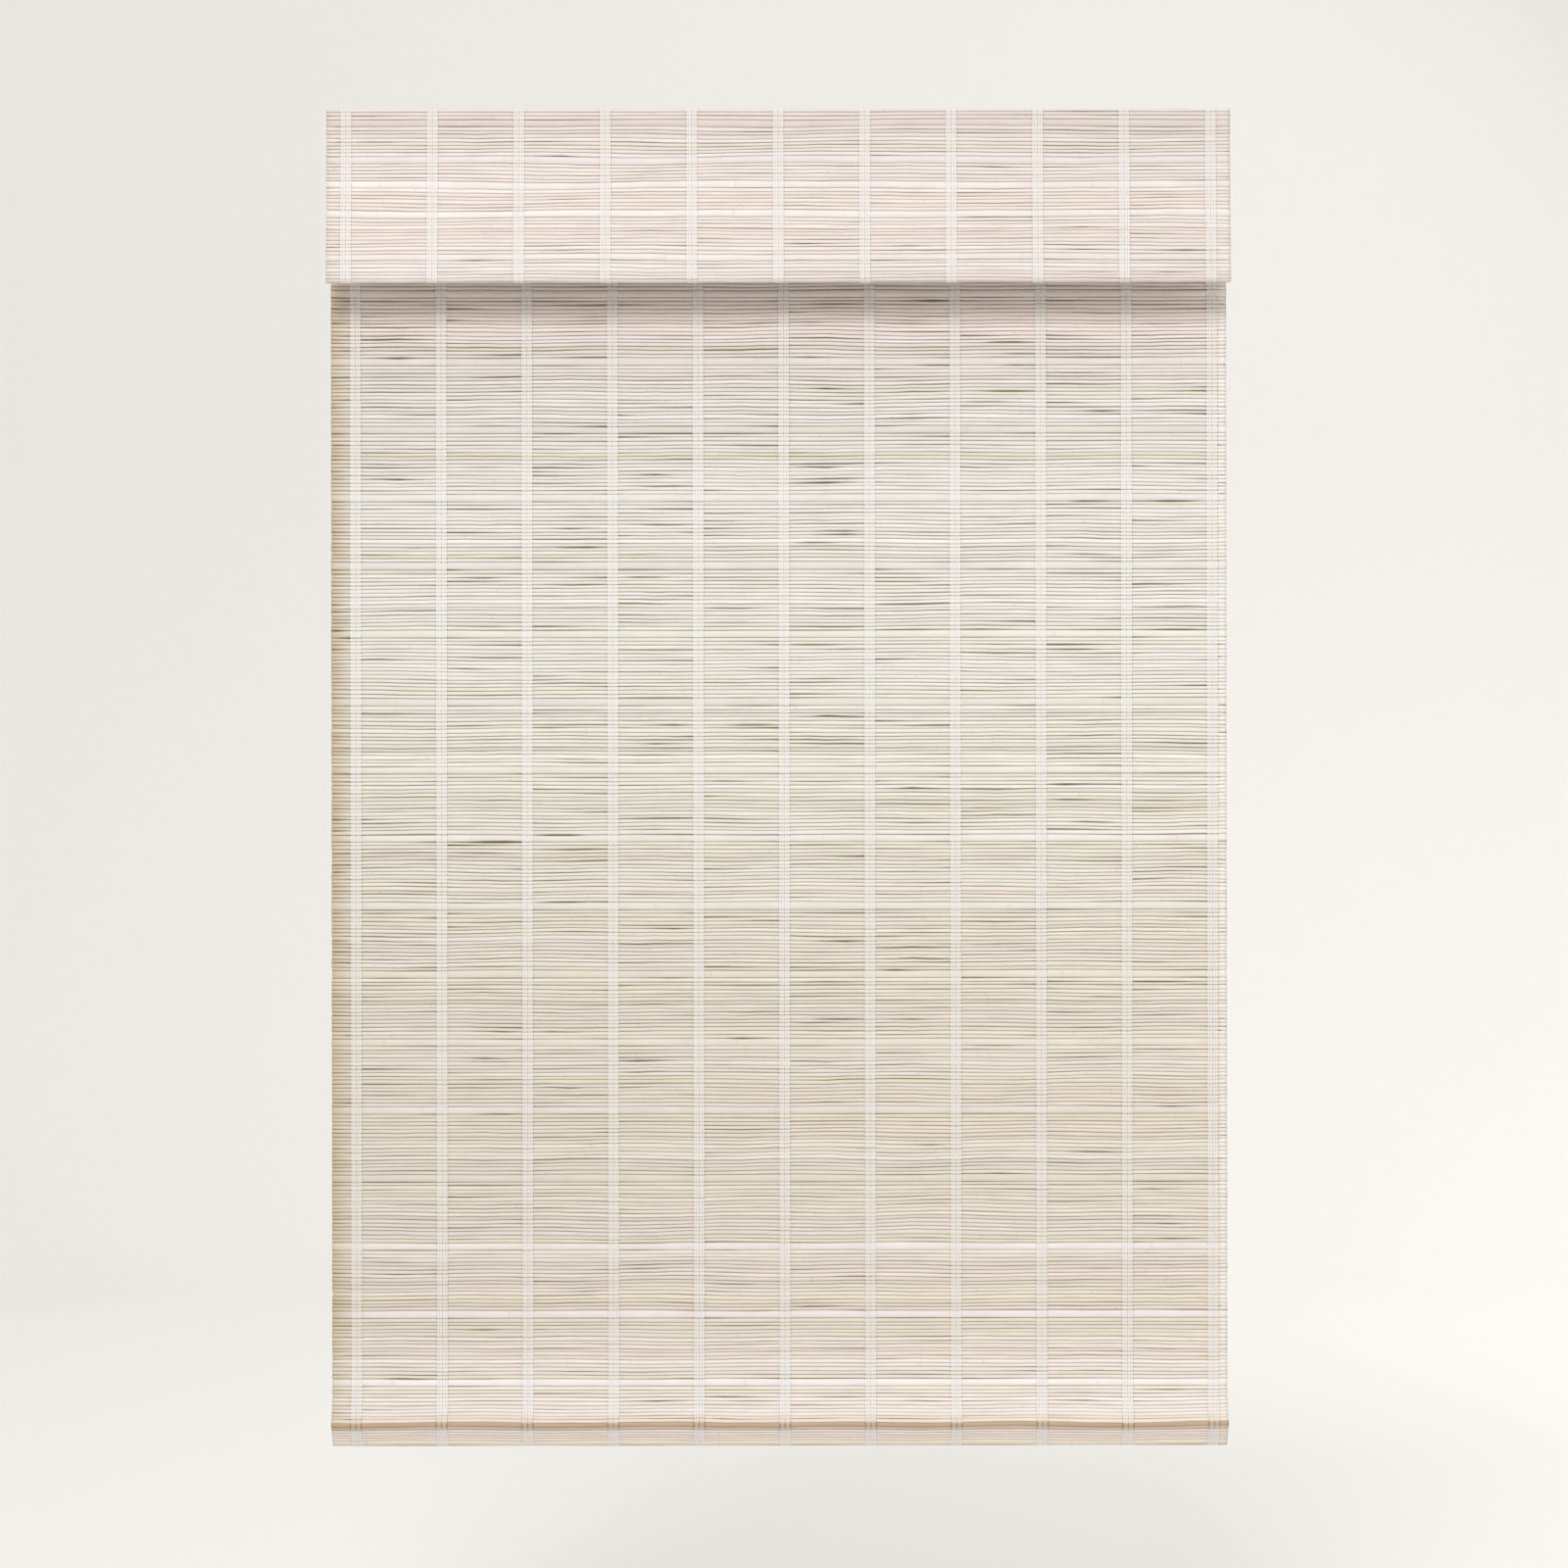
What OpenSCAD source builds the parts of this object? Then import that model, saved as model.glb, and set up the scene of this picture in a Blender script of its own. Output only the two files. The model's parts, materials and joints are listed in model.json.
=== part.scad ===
// Cordless roman blind of white-washed bamboo reeds, with a valance over its headrail.
// Millimetres. +Z is up, the front faces -Y and the reeds run along X.
// The origin is the middle of the four bracket screw holes, on the face under the lintel.

/* [Blind] */
// Width of the blind, which is the length of the reeds
blind_w = 787; // [600:1:1100]

/* [Reed mat] */
// Distance from one thin reed to the next in the mat
reed_pitch = 3.322; // [3:0.001:4]
// Thickness of a reed at its crest
reed_t = 2.4; // [1.8:0.1:3]
// Depth of the groove between two reeds
groove_d = 0.7; // [0.3:0.05:0.8]
// Slope from the bottom of a groove up to a crest, measured down the mat
flank = 0.9; // [0.5:0.05:1.2]
// Height of an open gap between two reeds
gap_h = 0.9; // [0.5:0.1:1.2]
// Distance from an open gap to the warp bands beside it
gap_margin = 9; // [4:0.5:16]
// Open gaps in one fold panel
gap_count = 9; // [4:1:10]
// Reed places in the fixed head of the mat, under the headrail
head_places = 40; // [38:1:50]
// Reed places in one fold panel
panel_places = 36; // [30:1:40]
// Place of the upper wide slat in a panel
slat_upper = 16; // [10:1:18]
// Place of the lower wide slat in a panel
slat_lower = 34; // [24:1:34]
// Gap between two panels at a fold
fold_gap = 0.3; // [0.2:0.05:0.6]

/* [Warp bands] */
// Width of a band of warp threads
band_w = 9; // [6:0.5:12]
// Thickness of the threads over the reeds
band_t = 0.5; // [0.3:0.05:0.8]
// Distance from the side of the blind to the middle of the first band
band_inset = 17.25; // [12:0.25:24]
// Distance that the bands of the hanging mat stand right of its middle
warp_shift = 4.5; // [-5:0.5:5]

/* [Apron and hem] */
// Length of the apron that curves forward under the last fold
apron_l = 31; // [26:0.5:36]
// Forward lean of the apron at its lip
apron_lean = 38; // [30:1:42]
// Length of the turn at the lip
lip_l = 6; // [5:0.25:8]
// Backward lean of the hem under the lip
hem_lean = 39; // [34:1:44]
// Length of the sloping hem
hem_l = 20; // [18:0.5:26]
// Length of the turn under the bottom bar
hem_turn_l = 15.5; // [14.5:0.25:17]
// Forward lean of the flap behind the bottom bar
flap_lean = 13; // [10:1:14]
// Length of the flap behind the bottom bar
flap_l = 37; // [30:0.5:38]
// Width of the bottom bar
bar_w = 21; // [16:0.5:23]
// Thickness of the bottom bar
bar_t = 5; // [3:0.25:6]
// Corner radius of the bottom bar
bar_round = 1.2; // [0.5:0.1:1.4]
// Distance from the end of the bottom bar to the side of the blind
bar_inset = 6; // [2:0.5:20]

/* [Valance] */
// Distance from one thin reed to the next in the valance
valance_pitch = 3.17; // [3:0.01:3.6]
// Drop of the valance from its top edge to the bottom of its hem
valance_drop = 152.4; // [130:0.1:153]
// Straight stretch at the top, which lies on the tape
valance_flat = 27; // [24:0.5:36]
// Length of the bend below the straight stretch
valance_bend = 30; // [16:1:40]
// Forward lean of the valance below the bend
valance_lean = 4; // [0:0.5:5]
// Radius of the turn at the valance hem
valance_turn_r = 3.2; // [2.6:0.1:5]
// Length of the valance hem that is turned up behind
valance_hem = 36; // [20:1:50]
// Height from the valance's top edge to the face under the lintel
valance_top_gap = 1; // [1:0.25:5]

/* [Headrail] */
// Depth of the headrail from front to back
rail_depth = 44.5; // [43.5:0.5:50]
// Height of the headrail without its fin
rail_h = 26; // [25.8:0.1:32]
// Wall of the headrail
rail_wall = 1.2; // [1:0.05:1.6]
// Width of the lips along the open top
rail_lip = 5; // [4:0.25:6]
// Outside corner radius of the headrail
rail_round = 1.8; // [1.4:0.1:2.4]
// Height of the fin that carries the mat
fin_h = 18; // [14:0.5:24]
// Thickness of the fin
fin_t = 1.2; // [1:0.05:1.4]
// Thickness of one half of the hook-and-loop tape
tape_t = 0.8; // [0.6:0.05:1]
// Height of the tape between the valance and the headrail
valance_tape_h = 20; // [12:0.5:22]
// Thickness of an end cap
cap_t = 3; // [2:0.25:5]
// Depth that an end cap reaches into the headrail
cap_plug_l = 8; // [5:0.5:14]
// Wall of the end cap's plug
cap_plug_wall = 1.6; // [1.2:0.1:2.4]

/* [Brackets] */
// Thickness of the bracket plate
bracket_t = 1.2; // [1:0.05:1.6]
// Width of a bracket along the headrail
bracket_w = 25; // [16:0.5:36]
// Depth of the bracket plate
bracket_d = 40; // [36:0.5:44]
// Distance from the middle of a bracket to the end of the headrail
bracket_inset = 45.5; // [32:0.5:60]
// Radius of a screw hole
screw_r = 2.25; // [1.75:0.05:2.75]
// Distance between the two screw holes of a bracket
screw_gap = 20; // [12:0.5:24]
// Reach of a bracket's tongue under the headrail's lip
tongue_l = 4; // [3:0.25:4.5]

/* [Lift] */
// Distance across the flats of the lift shaft
shaft_af = 6; // [5:0.1:6.4]
// Length of the shaft past the outer spools
shaft_over = 29; // [22:1:40]
// Radius at which a cord winds on its spool
spool_r = 8; // [6.5:0.1:8.2]
// Length of the winding on a spool
spool_l = 24; // [18:0.5:30]
// Thickness of a spool flange
spool_flange_t = 1.5; // [1:0.1:2]
// Height of a spool flange over its winding
spool_flange_h = 1.6; // [0.8:0.1:1.6]
// Radius of the round journals on the lift shaft
journal_r = 4.2; // [4.2:0.05:4.8]
// Wall of the spool cradles
cradle_wall = 3; // [2:0.25:4]
// Rim of a cradle wall over its bore
cradle_rim = 1.5; // [1:0.1:3]
// Length of a cradle's foot past its wall
cradle_foot = 3; // [1:0.5:6]
// Width of the slot that a spool snaps through
snap_w = 7.2; // [6.6:0.1:8]
// Thickness of the floor of the cradles and of the motor case
floor_t = 1.5; // [1:0.05:1.6]
// Inside radius of a cord spout
spout_bore_r = 1.2; // [0.8:0.05:1.3]
// Outside radius of a cord spout
spout_r = 2; // [1.8:0.05:2]
// Length of a spout under the headrail
spout_drop = 2; // [1:0.25:4]
// Outside diameter of a cord ring
ring_od = 11; // [9:0.5:12]
// Thickness of a cord ring
ring_tube = 2; // [1.5:0.1:2.4]
// Height of a ring over the fold that it is sewn at
ring_up = 6; // [4:0.5:10]

/* [Spring motor] */
// Middle of the spring motor along the headrail
motor_x = 150; // [80:1:200]
// Teeth on each of the two equal gears
gear_teeth = 20; // [18:1:20]
// Size of the gear teeth, pitch diameter over the number of teeth
gear_module = 0.9; // [0.8:0.01:0.9]
// Thickness of a gear
gear_t = 4; // [3:0.25:6]
// Radius of the spring drums
drum_r = 5; // [4.9:0.05:5.2]
// Width of the spring between gear and flange
spring_w = 22; // [16:0.5:26]
// Outside radius of the spring coil on the output drum
coil_output_r = 7.6; // [6.6:0.1:7.8]
// Outside radius of the spring coil on the storage drum
coil_storage_r = 6.4; // [6:0.1:6.6]
// Thickness of the spring band
spring_t = 0.3; // [0.2:0.05:0.5]
// Thickness of the drum flanges
drum_flange_t = 1.2; // [0.8:0.1:1.6]
// Wall of the motor case
motor_wall = 1.2; // [1:0.05:1.3]
// Depth of the grooves in the motor cover
cover_groove_d = 0.5; // [0.2:0.05:0.6]
// Thickness of the motor cover
cover_t = 1.1; // [0.8:0.05:1.2]
// Radius of the axle of the storage drum
axle_r = 2; // [1.5:0.05:2.4]

/* [Hidden] */
$fn = 48;

// Clearances
thread_seat = 0.12;  // warp threads to the reeds under them
fold_clear = 0.18;   // warp threads to the fold axis
seat = 0.2;          // headrail to bracket, plug to rail
side_fit = 0.1;      // cradle and motor case to the round corners of the rail
run_fit = 0.2;       // journals and axle in their bores, hub on the shaft
play = 0.5;          // turning parts beside fixed ones
spring_fit = 0.3;    // spring coils round their drums
axle_fit = 0.05;     // axle in the motor case
rest_fit = 0.3;      // ring on its band, bar in its pocket
mat_drop_gap = 0.9;  // headrail to the top of the mat
leg_fit = 0.5;       // bracket leg to the headrail's lip

// Pattern counts
band_count = 11;
panel_count = 8;
spool_band = 4;      // the outer cords run on the fourth bands from the middle
slat_places = 2;     // a wide slat fills two reed places
valance_slats = [3, 13, 20, 28, 40];
gap_edge = 3;        // reeds at the ends of a panel that stay whole
gap_row_step = 7;    // reeds from one open gap to the next, and from panel to panel
gap_row_shift = 5;
gap_column_step = 3; // columns from one open gap to the next, and from panel to panel
gap_column_shift = 7;
band_sag = 0.06;     // furthest that a facet of a warp band cuts its curve

// Mat section
half_t = reed_t / 2;
valley = half_t - groove_d;
band_in = half_t + thread_seat;
band_out = band_in + band_t;
axis_off = band_out + fold_clear;
band_pitch = (blind_w - 2 * band_inset) / (band_count - 1);
cord_x = spool_band * band_pitch;
cord_xs = [-cord_x, 0, cord_x];

// Headrail places
rail_len = blind_w - 2 * cap_t;
rail_top = -bracket_t - seat;
rail_bottom = rail_top - rail_h;
rail_floor = rail_bottom + rail_wall;
rail_inner = rail_depth - 2 * rail_wall;
rail_inner_round = rail_round - rail_wall;
insert_half = rail_inner / 2 - rail_inner_round - side_fit;
lip_under = rail_top - rail_wall;
slot_half = rail_inner / 2 - rail_lip;
bracket_x = rail_len / 2 - bracket_inset;

// Lift places: the gears set how far the two axes lie apart
gear_r = gear_teeth * gear_module / 2;
shaft_y = gear_r;
shaft_z = rail_floor + rail_h / 2 - rail_wall;
flange_r = spool_r + spool_flange_h;
spool_end = spool_l / 2 + spool_flange_t;
cradle_in = spool_end + play;
cradle_out = cradle_in + cradle_wall;
cord_y = shaft_y + spool_r + spout_bore_r;

// Mat places: the mat hangs in front of the fin, on two tapes
fin_y = cord_y - spout_r - 2 * run_fit - fin_t;
mat_y = fin_y - 2 * tape_t - band_out;
mat_top = rail_bottom - mat_drop_gap;
head_l = head_places * reed_pitch;
panel_l = panel_places * reed_pitch;
function fold_z(i) = mat_top - head_l - i * panel_l;

// Paths are lists of [length, turn]; a path starts straight down, and a turn above 0 swings it forward
hem_turn = -(180 - hem_lean + flap_lean);
tail_path = [
    [apron_l, apron_lean],
    [lip_l, -apron_lean - hem_lean],
    [hem_l, 0],
    [hem_turn_l, hem_turn],
    [flap_l, 0]
];
valance_y = -rail_depth / 2 - 2 * tape_t - band_out;
valance_top = -valance_top_gap;
valance_turn_l = PI * valance_turn_r;
valance_bend_fall = valance_bend * cos(valance_lean / 2);
valance_turn_fall = valance_turn_r + band_out;
valance_straight =
    (valance_drop - valance_flat - valance_bend_fall - valance_turn_fall) / cos(valance_lean);
valance_face = valance_flat + valance_bend + valance_straight;
valance_path = [
    [valance_flat, 0],
    [valance_bend, valance_lean],
    [valance_straight, 0],
    [valance_turn_l, -180],
    [valance_hem, 0]
];

panels = [for (i = [1:panel_count]) i];
ring_rows = [for (i = [1:panel_count / 2]) i];

reed_colour = [0.89, 0.86, 0.80];
thread_colour = [0.94, 0.92, 0.87];
rail_colour = [0.93, 0.93, 0.91];
plastic_colour = [0.82, 0.84, 0.83];
steel_colour = [0.62, 0.63, 0.65];
tape_colour = [0.96, 0.96, 0.95];
bar_colour = [0.76, 0.66, 0.50];

// Paths

function path_dir(a) = [-sin(a), -cos(a)];
function path_front(a) = [-cos(a), sin(a)];
function path_step(p, a, l, t) =
    let (chord = t == 0 ? l : 360 * l / (PI * t) * sin(t / 2))
    p + chord * path_dir(a + t / 2);
function path_at(path, s, p = [0, 0], a = 0, i = 0) =
    let (l = path[i][0], t = path[i][1])
    s <= l || i == len(path) - 1
        ? [path_step(p, a, s, t * s / l), a + t * s / l]
        : path_at(path, s - l, path_step(p, a, l, t), a + t, i + 1);
function path_point(path, s, n) =
    let (f = path_at(path, s))
    f[0] + n * path_front(f[1]);
function path_length(path, i = 0) = i == len(path) ? 0 : path[i][0] + path_length(path, i + 1);
function path_stations(path, i = 0, s = 0) =
    i == len(path)
        ? [s]
        : let (l = path[i][0], parts = max(1, ceil(sqrt(l * abs(path[i][1]) * PI / 1440 / band_sag))))
          concat([for (k = [0:parts - 1]) s + l * k / parts], path_stations(path, i + 1, s + l));
function backwards(points) = [for (i = [len(points) - 1:-1:0]) points[i]];

module along_x(l) {
    rotate([90, 0, 90]) linear_extrude(l, center = true) children();
}

module rounded(w, h, r) {
    square([w - 2 * r, h], center = true);
    square([w, h - 2 * r], center = true);
    for (x = [-1, 1], y = [-1, 1])
        translate([x * (w / 2 - r), y * (h / 2 - r)]) circle(r);
}

// Reed walls: each reed is [first place, number of places]

function is_slat(j, slats) = len(search(j, slats)) > 0;
function reeds(places, slats) = [
    for (j = [0:places - 1])
        let (fits = j <= places - slat_places)
        if (!is_slat(j - 1, slats)) [j, is_slat(j, slats) && fits ? slat_places : 1]
];
function reed_start(r, pitch) = r[0] * pitch;
function reed_end(r, pitch) = (r[0] + r[1]) * pitch;
function front_line(rs, pitch) = [
    for (r = rs)
        let (s = reed_start(r, pitch), e = reed_end(r, pitch))
        each [[s, valley], [s + flank, half_t], [e - flank, half_t]]
];
function back_line(rs, pitch) = [
    for (r = rs)
        let (s = reed_start(r, pitch), e = reed_end(r, pitch))
        each r[1] == 1
            ? [[s, -valley], [(s + e) / 2, -half_t]]
            : [[s, -valley], [s + flank, -half_t], [e - flank, -half_t]]
];

module reed_wall(path, places, pitch, slats, trim) {
    rs = reeds(places, slats);
    l = places * pitch;
    outline = concat(
        front_line(rs, pitch), [[l, valley]],
        backwards(concat(back_line(rs, pitch), [[l, -valley]]))
    );
    along_x(blind_w)
        polygon([for (q = outline) path_point(path, min(max(q[0], trim), l - trim), q[1])]);
}

// Open gaps wander over the columns between the bands, each in a groove between two reeds
module reed_gaps(places, pitch, slats, count, shift) {
    rs = reeds(places, slats);
    columns = band_count - 1;
    for (k = [0:count - 1]) {
        reed = gap_edge + (k * gap_row_step + shift * gap_row_shift) % (len(rs) - 2 * gap_edge);
        place = rs[reed][0];
        column = (k * gap_column_step + shift * gap_column_shift) % columns - columns / 2 + 0.5;
        translate([warp_shift + column * band_pitch, 0, -place * pitch])
            cube([band_pitch - band_w - 2 * gap_margin, 2 * reed_t, gap_h], center = true);
    }
}

// Bands lie on the front of the reeds for one length of the path, and on their back for another
module warp_band(path, l, side, trim) {
    inner = [for (s = path_stations(path)) if (s > trim && s < l - trim) s];
    stations = concat([trim], inner, [l - trim]);
    along_x(band_w)
        polygon(concat(
            [for (s = stations) path_point(path, s, side * band_in)],
            backwards([for (s = stations) path_point(path, s, side * band_out)])
        ));
}

module warp_bands(path, front_l, back_l, trim) {
    for (k = [0:band_count - 1])
        translate([(k - (band_count - 1) / 2) * band_pitch, 0, 0]) {
            warp_band(path, front_l, 1, trim);
            if (back_l > 0) warp_band(path, back_l, -1, trim);
        }
}

panel_slats = [slat_upper, slat_lower];
head_slats = [for (j = panel_slats) j + head_places - panel_places];
tail_places = floor(path_length(tail_path) / reed_pitch);
valance_places = floor(path_length(valance_path) / valance_pitch);

module mat_head() {
    color(reed_colour) translate([0, mat_y, mat_top])
        reed_wall([[head_l, 0]], head_places, reed_pitch, head_slats, fold_gap / 2);
}

module warp_head() {
    color(thread_colour) translate([warp_shift, mat_y, mat_top])
        warp_bands([[head_l, 0]], head_l, head_l, fold_gap / 2);
}

module mat_panel(i) {
    color(reed_colour) translate([0, mat_y, fold_z(i - 1)]) difference() {
        reed_wall([[panel_l, 0]], panel_places, reed_pitch, panel_slats, fold_gap / 2);
        reed_gaps(panel_places, reed_pitch, panel_slats, gap_count, i);
    }
}

module warp_panel(i) {
    color(thread_colour) translate([warp_shift, mat_y, fold_z(i - 1)])
        warp_bands([[panel_l, 0]], panel_l, panel_l, fold_gap / 2);
}

module mat_tail() {
    color(reed_colour) translate([0, mat_y, fold_z(panel_count)])
        reed_wall(tail_path, tail_places, reed_pitch, panel_slats, fold_gap / 2);
}

module warp_tail() {
    color(thread_colour) translate([warp_shift, mat_y, fold_z(panel_count)])
        warp_bands(tail_path, tail_places * reed_pitch, 0, fold_gap / 2);
}

module valance_mat() {
    color(reed_colour) translate([0, valance_y, valance_top])
        reed_wall(valance_path, valance_places, valance_pitch, valance_slats, 0);
}

module valance_warp() {
    color(thread_colour) translate([0, valance_y, valance_top])
        warp_bands(valance_path, valance_places * valance_pitch, valance_face, 0);
}

// The bar stands on its edge in the hem, against the flap
module bottom_bar() {
    flap_s = path_length(tail_path) - flap_l;
    foot = path_at(tail_path, flap_s);
    up = path_dir(foot[1]);
    inward = -path_front(foot[1]);
    middle = foot[0] + (bar_w / 2 + rest_fit) * up + (half_t + rest_fit + bar_t / 2) * inward;
    color(bar_colour) translate([0, mat_y, fold_z(panel_count)])
        along_x(blind_w - 2 * bar_inset)
            translate(middle) rotate(flap_lean) rounded(bar_t, bar_w, bar_round);
}

// Headrail, its ends, brackets and tapes

module rail_section() {
    middle = (rail_top + rail_bottom) / 2;
    difference() {
        translate([0, middle]) rounded(rail_depth, rail_h, rail_round);
        translate([0, middle]) rounded(rail_inner, rail_h - 2 * rail_wall, rail_inner_round);
        translate([-slot_half, lip_under - rail_wall]) square([2 * slot_half, 3 * rail_wall]);
    }
    translate([fin_y, rail_bottom - fin_h]) square([fin_t, fin_h + rail_wall / 2]);
}

module headrail() {
    color(rail_colour) difference() {
        along_x(rail_len) rail_section();
        for (x = cord_xs)
            translate([x, cord_y, rail_bottom])
                cylinder(r = spout_r + run_fit, h = 3 * rail_wall, center = true);
    }
}

module end_cap() {
    middle = (rail_top + rail_bottom) / 2;
    plug_w = rail_inner - 2 * seat;
    plug_h = rail_h - 2 * rail_wall - 2 * seat;
    along_x(cap_t) translate([0, middle]) rounded(rail_depth, rail_h, rail_round);
    translate([-cap_t / 2 - cap_plug_l / 2, 0, 0]) along_x(cap_plug_l) difference() {
        translate([0, middle]) square([plug_w, plug_h], center = true);
        translate([0, middle])
            square([plug_w - 2 * cap_plug_wall, plug_h - 2 * cap_plug_wall], center = true);
    }
}

module end_cap_right() {
    color(plastic_colour) translate([(rail_len + cap_t) / 2, 0, 0]) end_cap();
}

module end_cap_left() {
    color(plastic_colour) translate([-(rail_len + cap_t) / 2, 0, 0]) mirror([1, 0, 0]) end_cap();
}

// A plate with two legs through the rail's slot, whose tongues hold the lips from below
module bracket_section() {
    leg = slot_half - leg_fit;
    tongue_top = lip_under - seat;
    translate([-bracket_d / 2, -bracket_t]) square([bracket_d, bracket_t]);
    for (side = [0, 1]) mirror([side, 0]) {
        translate([leg - bracket_t, tongue_top - bracket_t])
            square([bracket_t, -tongue_top]);
        translate([leg - bracket_t, tongue_top - bracket_t])
            square([bracket_t + leg_fit + tongue_l, bracket_t]);
    }
}

module bracket(x) {
    color(steel_colour) difference() {
        translate([x, 0, 0]) along_x(bracket_w) bracket_section();
        for (y = [-screw_gap / 2, screw_gap / 2])
            translate([x, y, 0]) cylinder(r = screw_r, h = 4 * bracket_t, center = true);
    }
}

module mat_hook_tape() {
    color(tape_colour) translate([0, fin_y - tape_t / 2, rail_bottom - (mat_drop_gap + fin_h) / 2])
        cube([rail_len, tape_t, fin_h - mat_drop_gap], center = true);
}

module mat_loop_tape() {
    color(tape_colour) translate([0, fin_y - 1.5 * tape_t, rail_bottom - (mat_drop_gap + fin_h) / 2])
        cube([rail_len, tape_t, fin_h - mat_drop_gap], center = true);
}

valance_tape_z = (rail_top + rail_bottom) / 2;

module valance_hook_tape() {
    color(tape_colour) translate([0, -(rail_depth + tape_t) / 2, valance_tape_z])
        cube([rail_len, tape_t, valance_tape_h], center = true);
}

module valance_loop_tape() {
    color(tape_colour) translate([0, -(rail_depth + 3 * tape_t) / 2, valance_tape_z])
        cube([rail_len, tape_t, valance_tape_h], center = true);
}

// Lift: a hexagon shaft turns three spools, one for each cord

module hexagon(af, l) {
    rotate([0, 90, 0]) cylinder(d = af / cos(30), h = l, center = true, $fn = 6);
}

module turned(points) {
    rotate([0, 90, 0]) rotate_extrude() polygon(points);
}

module lift_shaft() {
    l = 2 * (cord_x + shaft_over);
    color(steel_colour) translate([0, shaft_y, shaft_z]) hexagon(shaft_af, l);
}

module spool(x) {
    hub = cradle_out + play;
    color(plastic_colour) translate([x, shaft_y, shaft_z]) difference() {
        turned([
            [0, -hub], [journal_r, -hub], [journal_r, -spool_end], [flange_r, -spool_end],
            [flange_r, -spool_l / 2], [spool_r, -spool_l / 2], [spool_r, spool_l / 2],
            [flange_r, spool_l / 2], [flange_r, spool_end], [journal_r, spool_end],
            [journal_r, hub], [0, hub]
        ]);
        hexagon(shaft_af + run_fit, 3 * hub);
    }
}

// The spool snaps down into two slotted walls, and its cord leaves by the spout
module spool_cradle(x) {
    side = insert_half;
    floor_top = rail_floor + floor_t;
    wall_top = shaft_z + journal_r + run_fit + cradle_rim;
    wall_front = shaft_y - flange_r;
    color(plastic_colour) translate([x, 0, 0]) difference() {
        union() {
            translate([-cradle_out - cradle_foot, -side, rail_floor])
                cube([2 * (cradle_out + cradle_foot), 2 * side, floor_t]);
            for (wall_x = [-cradle_out, cradle_in])
                translate([wall_x, wall_front, rail_floor])
                    cube([cradle_wall, side - wall_front, wall_top - rail_floor]);
            translate([0, cord_y, rail_bottom - spout_drop])
                cylinder(r = spout_r, h = floor_top - rail_bottom + spout_drop);
        }
        translate([0, shaft_y, shaft_z])
            rotate([0, 90, 0]) cylinder(r = journal_r + run_fit, h = 3 * cradle_out, center = true);
        translate([-1.5 * cradle_out, shaft_y - snap_w / 2, shaft_z])
            cube([3 * cradle_out, snap_w, rail_h]);
        translate([0, cord_y, rail_bottom - 2 * spout_drop])
            cylinder(r = spout_bore_r, h = rail_h / 2);
    }
}

// Spring motor: two geared drums pass a flat spring from one to the other

gear_pressure = 20;
gear_addendum = 0.88;   // height of a tooth over the pitch circle, in modules
gear_dedendum = 1.2;    // depth of a tooth under the pitch circle, in modules
gear_tip = gear_r + gear_addendum * gear_module;
gear_root = gear_r - gear_dedendum * gear_module;
gear_base = gear_r * cos(gear_pressure);
gear_slack = 0.4;       // degrees taken off each flank
drum_flange_r = gear_r - play;
drum_gear_x = -spring_w / 2 - play - gear_t;
drum_flange_x = spring_w / 2 + play;
motor_in = spring_w / 2 + play + gear_t + play;
motor_out = motor_in + motor_wall;
motor_side = insert_half;
cover_top = lip_under - rest_fit;
motor_top = cover_top - cover_t;

function involute(r) = let (c = gear_base / r, a = acos(c)) tan(a) * 180 / PI - a;
function tooth_half(r) =
    90 / gear_teeth - gear_slack + involute(gear_r) - involute(max(r, gear_base));
function polar(r, a) = [r * cos(a), r * sin(a)];

module gear_outline() {
    radii = [gear_root, gear_base, gear_r, gear_tip];
    polygon([
        for (tooth = [0:gear_teeth - 1])
            let (a = tooth * 360 / gear_teeth)
            each concat(
                [for (r = radii) polar(r, a - tooth_half(r))],
                [for (r = backwards(radii)) polar(r, a + tooth_half(r))]
            )
    ]);
}

module geared_drum(turn) {
    translate([drum_gear_x + gear_t / 2, 0, 0]) along_x(gear_t) rotate(turn) gear_outline();
    translate([(drum_gear_x + drum_flange_x) / 2, 0, 0])
        along_x(drum_flange_x - drum_gear_x) circle(drum_r);
    translate([drum_flange_x + drum_flange_t / 2, 0, 0]) along_x(drum_flange_t) circle(drum_flange_r);
}

module motor_output_drum() {
    hub = motor_out + play;
    color(plastic_colour) translate([motor_x, shaft_y, shaft_z]) difference() {
        union() {
            geared_drum(0);
            along_x(2 * hub) circle(journal_r);
        }
        hexagon(shaft_af + run_fit, 3 * hub);
    }
}

module motor_storage_drum() {
    mesh_turn = 180 + 180 / gear_teeth * (gear_teeth % 2 == 0 ? 1 : 0);
    hub_end = motor_in - play;
    color(plastic_colour) translate([motor_x, shaft_y - 2 * gear_r, shaft_z]) difference() {
        union() {
            geared_drum(mesh_turn);
            translate([(drum_flange_x + hub_end) / 2, 0, 0])
                along_x(hub_end - drum_flange_x) circle(journal_r);
        }
        along_x(4 * motor_out) circle(axle_r + run_fit);
    }
}

module storage_axle() {
    color(steel_colour) translate([motor_x, shaft_y - 2 * gear_r, shaft_z])
        along_x(2 * motor_out) circle(axle_r);
}

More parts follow.
